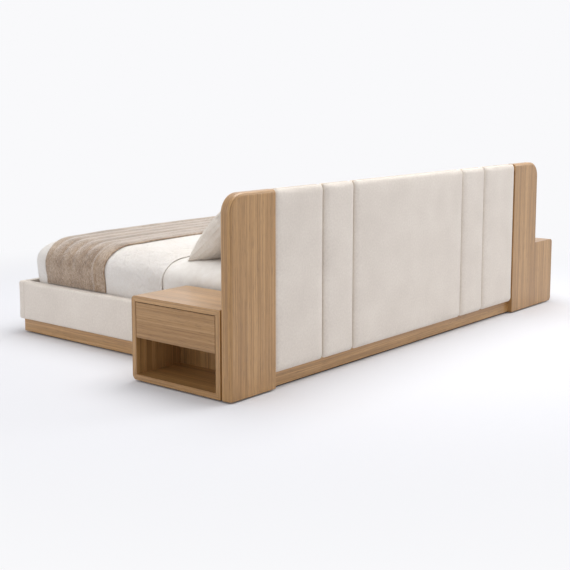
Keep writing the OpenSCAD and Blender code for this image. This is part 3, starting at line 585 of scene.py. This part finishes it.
# ---------- nightstand cases ----------
# Boxes of 30 mm oak-veneered board, mitred at every corner, the free corners rounded. The
# veneer runs round the box like a ribbon: along the top and bottom, and up the sides.

for side, along, axis in (("left", oak_along_y, 1), ("right", oak_along_x, 0)):
    cover(along, side + "_case_bottom")
    # The tops get more lacquer, rubbed to a satin, and so skim the light.
    cover(oak(side + "_top", axis, coat=0.6), side + "_case_top")
    # The fronts are given darker, browner tones than the cases.
    cover(grained("oak_veneer_" + side + "_drawer", axis, ("#8C653C", "#A1794A", "#B18A5C", "#5E4123"),
            wide=0.02, fine=0.005, ring=0.008, tone_size=0.16, pore=0.35, roughness=0.45, coat=0.2),
            side + "_drawer_front")
cover(oak("upright", 2), "left_case_free_side", "left_case_fixed_side", "right_case_free_side",
        "right_case_fixed_side", "left_case_back", "right_case_back")

# ---------- drawers ----------
# A box of birch plywood, its bottom let into a groove, behind a veneered front. Each runs on
# a pair of steel telescopic runners.

# Clear-lacquered birch plywood: pale and even, with faint streaks.
for name, along, side in (("x", 0, "right"), ("y", 1, "left")):
    ply = grained("birch_plywood_" + name, along, ("#C9B18C", "#D6C09D", "#E1CDAD", "#B49A75"), wide=0.05,
            fine=0.012, ring=0.03, tone_size=0.3, pore=0.2, roughness=0.6)
    cover(ply, side + "_drawer_box")
    cover(zinc_steel, side + "_cabinet_runners", side + "_middle_runners", side + "_drawer_runners")

# ---------- screws ----------
# Zinc-plated pan-head screws hold the runners to the cases and the drawer boxes, and the slats'
# ledgers to the side rails. One node tree makes a head with its cross recess and puts it on
# every point, turned the way that the point faces.


def node_shape(name, **inputs):
    """A Geometry Nodes tree with its named inputs, and the sockets that they come in by"""
    tree = bpy.data.node_groups.new(name, "GeometryNodeTree")
    tree.interface.new_socket("Geometry", in_out="OUTPUT", socket_type="NodeSocketGeometry")
    for each, kind in {"places": "Geometry", **inputs, "material": "Material"}.items():
        tree.interface.new_socket(each, in_out="INPUT", socket_type="NodeSocket" + kind)
    return tree, add(tree, "NodeGroupInput").outputs


def end_shape(tree, shape, material):
    """Makes a tree's instances real, gives them their material and ends the tree"""
    real = add(tree, "GeometryNodeRealizeInstances", {"Geometry": shape})
    done = add(tree, "GeometryNodeSetMaterial", {"Geometry": real, "Material": material})
    add(tree, "NodeGroupOutput", {"Geometry": done})


def grown(name, tree, points, edges=(), facing=None, **sizes):
    """The plain mesh that a tree makes on some points, or on the path that edges join"""
    mesh = bpy.data.meshes.new(name)
    mesh.from_pydata([tuple(p) for p in points], edges, [])
    if facing:
        ways = mesh.attributes.new("facing", "FLOAT_VECTOR", "POINT")
        ways.data.foreach_set("vector", [c for way in facing for c in way])
    made = bpy.data.objects.new(name, mesh)
    scene.collection.objects.link(made)
    nodes = made.modifiers.new("nodes", "NODES")
    nodes.node_group = tree
    for item in tree.interface.items_tree:
        if item.in_out == "INPUT" and item.name in sizes:
            nodes[item.identifier] = sizes[item.name]
    shaped = bpy.data.meshes.new_from_object(made.evaluated_get(bpy.context.evaluated_depsgraph_get()))
    made.modifiers.remove(nodes)
    made.data = shaped
    return made


screw_tree, given = node_shape("pan_head_screws", diameter="Float", height="Float", recess="Float")
radius = add(screw_tree, "ShaderNodeMath", {0: given["diameter"], 1: 0.5}, operation="MULTIPLY")
size = add(screw_tree, "ShaderNodeCombineXYZ", {0: radius, 1: radius, 2: given["height"]})
ball = add(screw_tree, "GeometryNodeMeshUVSphere", {"Segments": 16, "Rings": 8, "Radius": 1.0})
head = add(screw_tree, "GeometryNodeTransform", {"Geometry": ball, "Scale": size})
crown = add(screw_tree, "ShaderNodeCombineXYZ", {2: given["height"]})
cut = add(screw_tree, "GeometryNodeMeshBoolean", {0: head}, operation="DIFFERENCE", solver="EXACT")
for long, short in ((0, 1), (1, 0)):
    arm = add(screw_tree, "ShaderNodeCombineXYZ", {long: radius, short: given["recess"],
            2: given["height"]})
    arm = add(screw_tree, "GeometryNodeMeshCube", {"Size": arm})
    arm = add(screw_tree, "GeometryNodeTransform", {"Geometry": arm, "Translation": crown})
    screw_tree.links.new(arm.outputs[0], cut.inputs[1])
way = add(screw_tree, "GeometryNodeInputNamedAttribute", {"Name": "facing"}, data_type="FLOAT_VECTOR")
turn = add(screw_tree, "FunctionNodeAlignRotationToVector", {"Vector": way}, axis="Z")
heads = add(screw_tree, "GeometryNodeInstanceOnPoints", {"Points": given["places"], "Instance": cut,
        "Rotation": turn})
end_shape(screw_tree, heads, given["material"])


def screws(name, body, node, across, along, ends, deep, look, shares, diameter, height):
    """Screw heads on the faces of a node's box that look along one axis, at shares of another.
    They lie deep inside the box, and look out of it where look is 1 and into it where it is -1"""
    low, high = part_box(node)
    places, facing = [], []
    for end in ends:
        for share in shares:
            at = low.lerp(high, 0.5)
            at[across] = (high[across] - deep) if end > 0 else (low[across] + deep)
            at[along] = low[along] + (high[along] - low[along]) * share
            places.append(at)
            facing.append([end * look if axis == across else 0.0 for axis in range(3)])
    heads = grown(name, screw_tree, places, facing=facing, diameter=diameter, height=height,
            recess=diameter * 0.15, material=zinc_steel)
    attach(heads, body)


# The webs' faces that the screws go through lie this deep inside the members' boxes.
cabinet_web, drawer_web = 0.0014, 0.00395
for hand, across, along in (("left", 1, 0), ("right", 0, 1)):
    for member, body, deep, look in (("cabinet", "bed", cabinet_web, -1),
            ("drawer", hand + "_drawer", drawer_web, 1)):
        screws(f"{hand}_{member}_screws", body, f"{hand}_{member}_runners", across, along, (1, -1), deep,
                look, (0.12, 0.46, 0.86), diameter=0.0068, height=0.002)
for hand, inner in (("left", -1), ("right", 1)):
    screws(hand + "_ledger_screws", "bed", hand + "_ledger", 0, 1, (inner,), 0.0, 1,
            [0.04 + 0.92 * i / 6 for i in range(7)], diameter=0.009, height=0.003)

# ---------- mattress ----------
# A deep pocket-sprung mattress with a soft quilted edge, under a fitted sheet of white cotton
# percale that is pulled smooth over the top and round the rolled edge.

bed_low, bed_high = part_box("mattress")
roll_w, roll_h, corner = 0.18, 0.11, 0.12
corner_tighten, top_crown = 0.06, 0.01
half_l = (bed_high.y - bed_low.y) / 2
half_w = (bed_high.x - bed_low.x) / 2
top_z = bed_high.z - top_crown
roll_z = top_z - roll_h
tuck_z = 0.319


def crowned(inset):
    """Height of the crowned top above its rolled edge"""
    s = min(1, max(0, (inset - roll_w) / (half_l - roll_w)))
    return top_crown * (1 - (1 - s) ** 2)


def along_path(points, places):
    """Points at the given shares of a path's length"""
    steps = [0.0]
    for a, b in zip(points, points[1:]):
        steps.append(steps[-1] + math.dist(a, b))
    found, k = [], 0
    for share in places:
        at = share * steps[-1]
        while k < len(steps) - 2 and steps[k + 1] < at:
            k += 1
        t = (at - steps[k]) / max(1e-9, steps[k + 1] - steps[k])
        found.append(tuple(a + (b - a) * t for a, b in zip(points[k], points[k + 1])))
    return found


def evenly(n):
    return [i / n for i in range(n + 1)]


def bed_section(start, off_low, off_top):
    """The bedding's outline from a low edge up over the rolled edge and in to the middle, as
    (inset from the mattress's side, height); it lies off_low to off_top outside the mattress"""
    puff = off_top - off_low
    path = []
    for i in range(13):
        z = start + (roll_z - start) * i / 12
        s = (z - tuck_z) / (roll_z - tuck_z)
        path.append((-off_low - puff * s / 2, z))
    for i in range(1, 25):
        a = math.radians(90 * i / 24)
        off = off_low + puff * (1 + i / 24) / 2
        path.append((roll_w - (roll_w + off) * math.cos(a), roll_z + (roll_h + off) * math.sin(a)))
    for i in range(1, 41):
        inset = roll_w + (half_l - roll_w) * i / 40
        path.append((inset, top_z + off_top + crowned(inset)))
    return path


def length_of(path):
    return sum(math.dist(a, b) for a, b in zip(path, path[1:]))


def bed_run(inset, radius, sides, places_y, places_x, head_y):
    """One level line round the bedding: down the left side, across the foot and up the right
    side, and back across the head where sides is 4. Each run ends halfway round a corner"""
    x, foot = half_w - inset, bed_low.y + inset
    arc = [math.radians(45 * i / 8) for i in range(8, -1, -1)]

    def bend(centre, eighth):
        start = eighth * math.pi / 4
        return [(centre[0] + radius * math.cos(start + a), centre[1] + radius * math.sin(start + a))
                for a in arc]

    head = bed_high.y - inset
    left_x, right_x = bed_x + x - radius, bed_x - x + radius
    left_foot, right_foot = (left_x, foot + radius), (right_x, foot + radius)
    left_head, right_head = (left_x, head - radius), (right_x, head - radius)
    start = bend(left_head, 0) if sides == 4 else [(bed_x + x, head_y)]
    over = bend(right_head, 3) if sides == 4 else [(bed_x - x, head_y)]
    runs = [along_path(start + bend(left_foot, -1), places_y),
            along_path(bend(left_foot, -2) + bend(right_foot, -3), places_x),
            along_path(bend(right_foot, -4) + over, [1 - p for p in reversed(places_y)])]
    if sides == 4:
        runs.append(along_path(bend(right_head, 2) + bend(left_head, 1), places_x))
    line = []
    for run in runs:
        line += run[:-1]
    return line if sides == 4 else line + [runs[-1][-1]]


def field(last, base, ny, nx, sides, points, flat, faces, first, height):
    """Fills the line that ends a skin, numbered from base, with a plain grid at a height that
    goes by the inset from the mattress's sides"""
    xs = [last[ny + i][0] for i in range(nx + 1)]
    ys = [last[j][1] for j in range(ny + 1)]
    foot_y = last[ny + nx // 2][1]
    number = {}
    for j in range(ny + 1):
        for i in range(nx + 1):
            if i == 0:
                number[i, j] = base + j
            elif j == ny:
                number[i, j] = base + ny + i
            elif i == nx:
                number[i, j] = base + ny + nx + ny - j
            elif j == 0 and sides == 4:
                number[i, j] = base + 2 * ny + nx + nx - i
            else:
                x, y = xs[i], ys[0] + (foot_y - ys[0]) * (ys[0] - ys[j]) / (ys[0] - ys[ny])
                from_head = bed_high.y - y if sides == 4 else math.inf
                inset = min(half_w - abs(x - bed_x), y - bed_low.y, from_head)
                points.append(Vector((x, y, height(inset))))
                flat.append((x, y))
                number[i, j] = len(points) - 1
    faces += [tuple(first + number[c] for c in ((i, j), (i + 1, j), (i + 1, j + 1), (i, j + 1)))
            for j in range(ny) for i in range(nx)]
    return number


def bed_skin(section, sides, places_y, places_x, first, head_y=None):
    """Points, faces and flat map of a skin over the bed: rows of points up its drop and over
    its rolled edge, then a plain grid over its top"""
    deep = 0.26
    rows = [p for p in section if p[0] <= deep]
    total = length_of(rows)
    rows = along_path(rows, evenly(max(6, round(total / 0.022))))
    ny, nx = len(places_y) - 1, len(places_x) - 1

    def radius(inset):
        if inset <= 0:
            return corner - inset
        s = min(1, inset / deep)
        return max(0.02, corner - inset * corner_tighten / roll_w) * (1 - s) + 0.035 * s

    last = bed_run(rows[-1][0], radius(rows[-1][0]), sides, places_y, places_x, head_y)
    n = len(last)
    points, flat = [], []
    for k, (inset, z) in enumerate(rows):
        run = bed_run(inset, radius(inset), sides, places_y, places_x, head_y)
        left = total * (1 - k / (len(rows) - 1))
        for i, (x, y) in enumerate(run):
            out = Vector((x - last[i][0], y - last[i][1]))
            if out.length < 1e-4:
                out = Vector((0, 0))
            else:
                out.normalize()
            points.append(Vector((x, y, z)))
            flat.append((last[i][0] + out.x * left, last[i][1] + out.y * left))
    faces = lattice(len(rows), n, first, ring=sides == 4)
    number = field(last, (len(rows) - 1) * n, ny, nx, sides, points, flat, faces, first,
            lambda inset: rows[-1][1] - crowned(deep) + crowned(inset))
    edge = [k * n for k in range(len(rows))] + [number[i, 0] for i in range(1, nx)]
    edge += [k * n + n - 1 for k in range(len(rows) - 1, -1, -1)]
    return points, faces, flat, n, [first + e for e in edge]


# Bleached cotton percale: crisp and matt, a little cooler than the coverlet, its threads far
# too fine to see, so the weave is drawn at 1.5 mm.
percale = woven("white_cotton_percale", ("#DFD9D2", "#E6E1DA", "#ECE8E3"), patch=0.3, mottle=0.05,
        thread=0.0015, depth=0.0002, roughness=0.85, sheen=0.1, uv="cloth")
sheet_low, hollow, underside_inset = 0.312, 0.005, 0.012
long_steps, cross_steps = 72, 90
section = []
for inset, z in bed_section(sheet_low, 0.0, 0.0):
    drawn_in = hollow * math.sin(math.pi * (z - sheet_low) / (roll_z - sheet_low)) if z < roll_z else 0
    section.append((inset + drawn_in, z))
shares_y, shares_x = evenly(long_steps), evenly(cross_steps)
points, faces, flat, n, _ = bed_skin(section, 4, shares_y, shares_x, 0)
foot_ring = bed_run(underside_inset, corner - underside_inset, 4, shares_y, shares_x, None)
base = len(points)
points += [Vector((x, y, bed_low.z)) for x, y in foot_ring]
flat += flat[:n]
faces += [(base + i, base + (i + 1) % n, (i + 1) % n, i) for i in range(n)]
field(foot_ring, base, long_steps, cross_steps, 4, points, flat, faces, 0, lambda inset: bed_low.z)
mattress = sewn("mattress_in_fitted_sheet", points, faces, percale, flat)
bed_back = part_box("left_wing")[1].y
cover_head = bed_back - 0.89


def under_cover(p):
    """Keeps the sheet flat where the coverlet lies on it, and whole at its tape edge"""
    return p.y < cover_head or p.z < 0.34


fill_out(mattress, 0.004, held=under_cover, pressure=2.0, slack=0.006)
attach(mattress, "bed")
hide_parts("mattress")

# ---------- coverlet ----------
# A light quilted coverlet of washed cotton lies over the lower half of the bed and hangs down
# inside the rails. Toward the head it thins to a turned hem with a fine shadow under it.

cover_low, hem, full = tuck_z, 0.007, 0.028
air = 0.0004
thinned, nose_reach, hem_body, hem_lift = 0.15, 0.0045, 0.0075, 0.0045
run_y = cover_head - bed_low.y
head_steps = [0.0, 0.0015, 0.004, 0.008, 0.014, 0.024, 0.045, 0.075, 0.11, 0.15]
steps_y = [p / run_y for p in head_steps]
steps_y += [thinned / run_y + (1 - thinned / run_y) * i / 42 for i in range(1, 43)]
outer = bed_skin(bed_section(cover_low, hem, full), 3, steps_y, evenly(96), 0, cover_head)
inner = bed_skin(bed_section(cover_low, air, air), 3, steps_y, evenly(96), len(outer[0]), cover_head)
for a, b in zip(outer[0], inner[0]):
    d, thick = max(0, cover_head - a.y), (a - b).length
    if d < thinned + 0.01 and thick > 1e-6:
        up = (a - b) / thick
        s = min(1, d / thinned)
        s = s * s * (3 - 2 * s)
        nose = math.sqrt(max(0, 1 - max(0, 1 - d / nose_reach) ** 2))
        lift = hem_lift * max(0, 1 - d / 0.02) ** 1.5
        body = min(thick, hem_body) * (1 - s) + thick * s
        middle = b + up * (lift + body / 2)
        a.xyz = middle + up * body / 2 * nose
        b.xyz = middle - up * body / 2 * (nose if d < nose_reach else 1)
points, flat = outer[0] + inner[0], outer[2] + inner[2]
faces = outer[1] + inner[1]
n, m = outer[3], len(outer[0])
faces += [(i, i + 1, m + i + 1, m + i) for i in range(n - 1)]
faces += [(a, b, d, c) for a, b, c, d in zip(outer[4], outer[4][1:], inner[4], inner[4][1:])]

# Washed cotton: a warm white cloth that keeps fine crinkles from the wash. Its yarn is drawn
# at 1.6 mm.
washed_cotton = woven("washed_cotton", ("#E9E1D9", "#EEE8E1", "#F3EEE9"), patch=0.25, mottle=0.012,
        thread=0.0016, depth=0.0009, roughness=0.9, sheen=0.15, uv="cloth")
creased(washed_cotton, across=0.05, along=0.05, depth=0.014)
coverlet = sewn("coverlet_quilt", points, faces, washed_cotton, flat)
throw_head, throw_foot = bed_back - 1.365, bed_back - 1.915


def pressed(p):
    """The hem tucked behind the rails, the underside, and what lies under the throw, stay put"""
    return p.z < 0.345 or throw_foot - 0.01 < p.y < throw_head + 0.01


fill_out(coverlet, 0.004, held=pressed, pressure=2.0, slack=0.012)
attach(coverlet, "bed")
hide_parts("coverlet")

# A row of stitches holds the turned hem, 9 mm in from the head edge. The node tree spaces them
# along a path and lays each on the cloth under it.


def laid_on(tree, shape, cloth):
    """A shape with every point moved onto the nearest face of a cloth"""
    cloth = add(tree, "GeometryNodeObjectInfo", {"Object": cloth}, transform_space="RELATIVE")
    near = add(tree, "GeometryNodeProximity", {"Geometry": cloth.outputs["Geometry"]},
            target_element="FACES")
    return add(tree, "GeometryNodeSetPosition", {"Geometry": shape, "Position": near.outputs["Position"]})


stitch_tree, given = node_shape("stitches_on_cloth", cloth="Object", pitch="Float", length="Float",
        thickness="Float")
path = add(stitch_tree, "GeometryNodeMeshToCurve", {"Mesh": given["places"]})
even = add(stitch_tree, "GeometryNodeCurveToPoints", {"Curve": path, "Length": given["pitch"]},
        mode="LENGTH")
laid = laid_on(stitch_tree, even, given["cloth"])
size = add(stitch_tree, "ShaderNodeCombineXYZ", {0: given["thickness"], 1: given["thickness"],
        2: given["length"]})
ball = add(stitch_tree, "GeometryNodeMeshUVSphere", {"Segments": 6, "Rings": 4, "Radius": 0.5})
row = add(stitch_tree, "GeometryNodeInstanceOnPoints", {"Points": laid, "Instance": ball,
        "Rotation": even.outputs["Rotation"], "Scale": size})
end_shape(stitch_tree, row, given["material"])
# Mercerised cotton thread: a little glossier than the cloth that it holds.
thread = woven("mercerised_thread", ("#DDD3C8", "#E8DFD5", "#F0E9E0"), patch=0.2, mottle=0.004,
        thread=0.0008, depth=0.00005, roughness=0.6, sheen=0.2)


def across_bed(half_path, first_back):
    """A path's points over the whole bed, from its right half; first_back is where the way back
    begins, counted from its end"""
    there = [(bed_x - half_w + inset, z) for inset, z in half_path]
    return there + [(bed_x + half_w - inset, z) for inset, z in half_path[first_back::-1]]


stitched, above = cover_head - 0.009, 0.016
line = across_bed(along_path(bed_section(cover_low + 0.01, above, above), evenly(80)), -1)
stitches = grown("coverlet_hem_stitches", stitch_tree, [(x, stitched, z) for x, z in line],
        [(i, i + 1) for i in range(len(line) - 1)], cloth=coverlet, pitch=0.0048, length=0.0034,
        thickness=0.001, material=thread)
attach(stitches, "bed")

# ---------- throw ----------
# A folded throw of brushed wool lies across the foot of the bed, its ends on the rails. The
# cloth stands in soft lengthwise ridges, and a fold ridge runs along its head-side band.

throw_w, throw_low, on_top = 0.55, 0.3344, 0.0045
section = bed_section(throw_low, hem + on_top, full + on_top)
half = length_of(section) + (half_w - half_l)
count, columns = 70, 52
line = across_bed(along_path(section + [(half_w, section[-1][1])], evenly(count)), -2)
ridges, ridge_h, ridge_bottom, ridge_fade = 5.5, 0.0085, 0.49, 0.07
band, band_h, band_edge = 0.17, 0.006, 0.018
points, flat = [], []
for c in range(columns + 1):
    s = c / columns
    for i, (x, z) in enumerate(line):
        along = half * i / count
        top = min(1, max(0, (z - ridge_bottom) / ridge_fade))
        wave = noise.noise(Vector((along * 1.7, 3.1, 0.0)))
        w = s + 0.012 * wave
        lift = ridge_h * abs(math.sin(math.pi * ridges * w)) ** 0.7 * (0.06 + 0.94 * top ** 2)
        band_at = band + 0.012 * noise.noise(Vector((along * 4, 7.7, 1.0)))
        fold = band_h * math.exp(-((w - band_at) / band_edge) ** 2)
        sway = 0.004 * noise.noise(Vector((along * 2.2, 0.0, 5.0))) * (1 - top)
        before, after = line[max(0, i - 1)], line[min(len(line) - 1, i + 1)]
        normal = Vector((before[1] - after[1], 0, after[0] - before[0])).normalized()
        points.append(Vector((x, throw_head - throw_w * s + sway, z)) + normal * (lift + fold))
        flat.append((s * throw_w, along))
# Brushed lambswool: warm taupe, its yarns mottled light and dark and drawn out along the
# throw, under a short nap. Where the eye skims over it, the colour is painted paler toward
# cream, a painted sheen. The yarn is drawn at 3 mm.
lambswool = woven("brushed_lambswool", ("#745C45", "#AB9178", "#D0BCA6"), patch=0.15, mottle=0.009,
        thread=0.003, depth=0.0012, roughness=0.95, sheen=1.0, uv="cloth", stretch=(1, 0.4, 1))
tree, shader = parts_of(lambswool)
# Painted sheen: the base colour is mixed toward pale cream where the cloth is seen at a grazing angle.
flat_on = add(tree, "ShaderNodeLayerWeight", {"Blend": 0.5})
flat_on = add(tree, "ShaderNodeMath", {0: flat_on.outputs["Facing"], 1: 6.0}, operation="POWER")
painted_sheen = add(tree, "ShaderNodeMath", {0: flat_on, 1: 0.9}, operation="MULTIPLY")
yarns = shader.inputs["Base Color"].links[0].from_socket
painted_sheen = add(tree, "ShaderNodeMix", {0: painted_sheen, 6: yarns, 7: colour("#EFE3D8")}, data_type="RGBA")
tree.links.new(painted_sheen.outputs[2], shader.inputs["Base Color"])
throw = sewn("wool_throw", points, lattice(columns + 1, len(line)), lambswool, flat)
fill_out(throw, 0.0025, held=lambda p: p.z < 0.345, pressure=0.0, slack=0.01)
body = throw.modifiers.new("body", "SOLIDIFY")
body.thickness, body.offset = 0.0078, 0.0
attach(throw, "bed")
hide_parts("throw")

# ---------- pillows ----------
# Four king-size pillows lean in two pairs against the headboard. Feather fills a knife-edged
# case of slubby linen, so the sides draw in between the corners.

pillow_w, pillow_h, pillow_t = 1.05, 0.56, 0.25
case_w, case_h = 1.12, 0.63
# The pillows stop half a millimetre short of the headboard's padded front.
headboard_front = bed_back - 0.0705


def leaning(across, up, out, slope):
    """A pillow's point, its lower long edge along x at the origin, leaning back by the slope"""
    return Vector((across, up * math.cos(slope) - out * math.sin(slope),
            up * math.sin(slope) + out * math.cos(slope)))


def room(u, v):
    """Half the thickness that a pillow has room for; u and v run from -1 to 1 over its face"""
    return pillow_t / 2 * max(0, 1 - abs(u) ** 3.2) ** 0.62 * max(0, 1 - abs(v) ** 2.6) ** 0.62


def bed_top(x, y):
    """Height of the made bed under a pillow, its rolled sides included"""
    inset = max(0, min(x - bed_low.x, bed_high.x - x, y - bed_low.y, bed_high.y - y))
    if inset >= roll_w:
        return top_z + crowned(inset)
    return roll_z + roll_h * math.sin(math.acos(1 - inset / roll_w))


def reach_back(slope):
    """How far a pillow's back lies behind its lower edge at most"""
    shares = [i / 40 for i in range(-40, 41)]
    return max(leaning(0, pillow_h / 2 * (1 + v), -room(0, v), slope).y for v in shares)


def fill_case(case):
    """Blows a flat case up as a cloth simulation until its seams pucker, brings it to size, and
    gives the points of its seam in order"""
    cut = [v.co.copy() for v in case.data.vertices]
    filled = simulated(case, 11, quality=5, mass=0.2, tension_stiffness=25, compression_stiffness=8,
            shear_stiffness=4, bending_stiffness=0.15, use_pressure=True, uniform_pressure_force=2.0)
    for v, co in zip(case.data.vertices, filled):
        v.co = co
    points = [v.co for v in case.data.vertices]
    for axis, size in ((0, pillow_w), (1, pillow_h), (2, pillow_t)):
        low_end, high_end = min(p[axis] for p in points), max(p[axis] for p in points)
        for p in points:
            p[axis] = (p[axis] - (low_end + high_end) / 2) * size / (high_end - low_end)
    for p, start in zip(points, cut):
        full = room(2 * start.x / case_w, 2 * start.y / case_h) * (1 - 0.3 * start.y / case_h)
        p.z = 0.35 * p.z + (0.65 * math.copysign(full, start.z) if start.z else 0)
    return sorted((i for i, start in enumerate(cut) if start.z == 0),
            key=lambda i: math.atan2(cut[i].y / case_h, cut[i].x / case_w))


# Slubby linen: an oatmeal plain weave with thick and thin yarns that show as fine lines. The
# yarn is drawn at 2 mm.
linen = woven("slub_linen", ("#D9CFC3", "#E6DCD0", "#EEE7DD"), patch=0.2, mottle=0.005, thread=0.002,
        depth=0.0006, roughness=0.9, sheen=0.2, uv="cloth", stretch=(0.25, 1, 1))
creased(linen, across=0.03, along=0.16, depth=0.016)

# The seam stands up as a fine ridge all round. The node tree lays it on the case's edge.
seam_tree, given = node_shape("ridge_on_cloth", cloth="Object", step="Float", thickness="Float")
path = add(seam_tree, "GeometryNodeMeshToCurve", {"Mesh": given["places"]})
even = add(seam_tree, "GeometryNodeResampleCurve", {"Curve": path, "Length": given["step"]},
        mode="LENGTH")
laid = laid_on(seam_tree, even, given["cloth"])
radius = add(seam_tree, "ShaderNodeMath", {0: given["thickness"], 1: 0.5}, operation="MULTIPLY")
ring = add(seam_tree, "GeometryNodeCurvePrimitiveCircle", {"Resolution": 6, "Radius": radius})
ridge = add(seam_tree, "GeometryNodeCurveToMesh", {"Curve": laid, "Profile Curve": ring})
end_shape(seam_tree, ridge, given["material"])
# The case's linen doubled up in the seam, its yarns too fine to tell apart.
seam_linen = woven("seam_linen", ("#D5CBBF", "#E0D6CA", "#EAE2D8"), patch=0.2, mottle=0.004, thread=0.001,
        depth=0.0001, roughness=0.9, sheen=0.2)

flat_bulge, quick_bulge, bulge_noise = 0.02, 0.11, 0.006
us, vs = evenly(62), evenly(34)
for row, slope in (("rear", math.radians(46)), ("front", math.radians(44))):
    for side, hand in ((1, "left"), (-1, "right")):
        node = f"pillow_{row}_{hand}"
        node_low, node_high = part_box(node)
        seed = len(node) + 3.7 * side
        points, flat = [], []
        for face in (1, -1):
            for u in us:
                for v in vs:
                    bulge = quick_bulge
                    rumple = noise.noise(Vector((9 * u, 5 * v, seed + face)))
                    bulge = flat_bulge + bulge_noise * rumple
                    lens = math.sqrt(math.sin(math.pi * u) * math.sin(math.pi * v) + 1e-9)
                    out = face * lens * bulge if 0 < u < 1 and 0 < v < 1 else 0
                    points.append(Vector(((u - 0.5) * case_w, (v - 0.5) * case_h, out)))
                    flat.append((u * pillow_w, v * pillow_h))
        n = len(us) * len(vs)
        faces = lattice(len(us), len(vs)) + [f[::-1] for f in lattice(len(us), len(vs), n)]
        pillow = sewn(node + "_case", points, faces, linen, flat)
        seam = fill_case(pillow)
        at_y = node_high.y - reach_back(slope)
        at = Vector(((node_low.x + node_high.x) / 2, at_y, 0))
        for v in pillow.data.vertices:
            across, up, out = v.co
            p = leaning(across, up + pillow_h / 2, out, slope) + at
            p.z = bed_top(p.x, p.y) + max(0, p.z)
            p.y = min(p.y, headboard_front)
            v.co = p
        smoothed(pillow)
        ridge = grown(node + "_seam", seam_tree, [pillow.data.vertices[i].co for i in seam],
                [(i, (i + 1) % len(seam)) for i in range(len(seam))], cloth=pillow, step=0.009,
                thickness=0.0026, material=seam_linen)
        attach(ridge, "bed")
        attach(pillow, "bed")
        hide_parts(node)
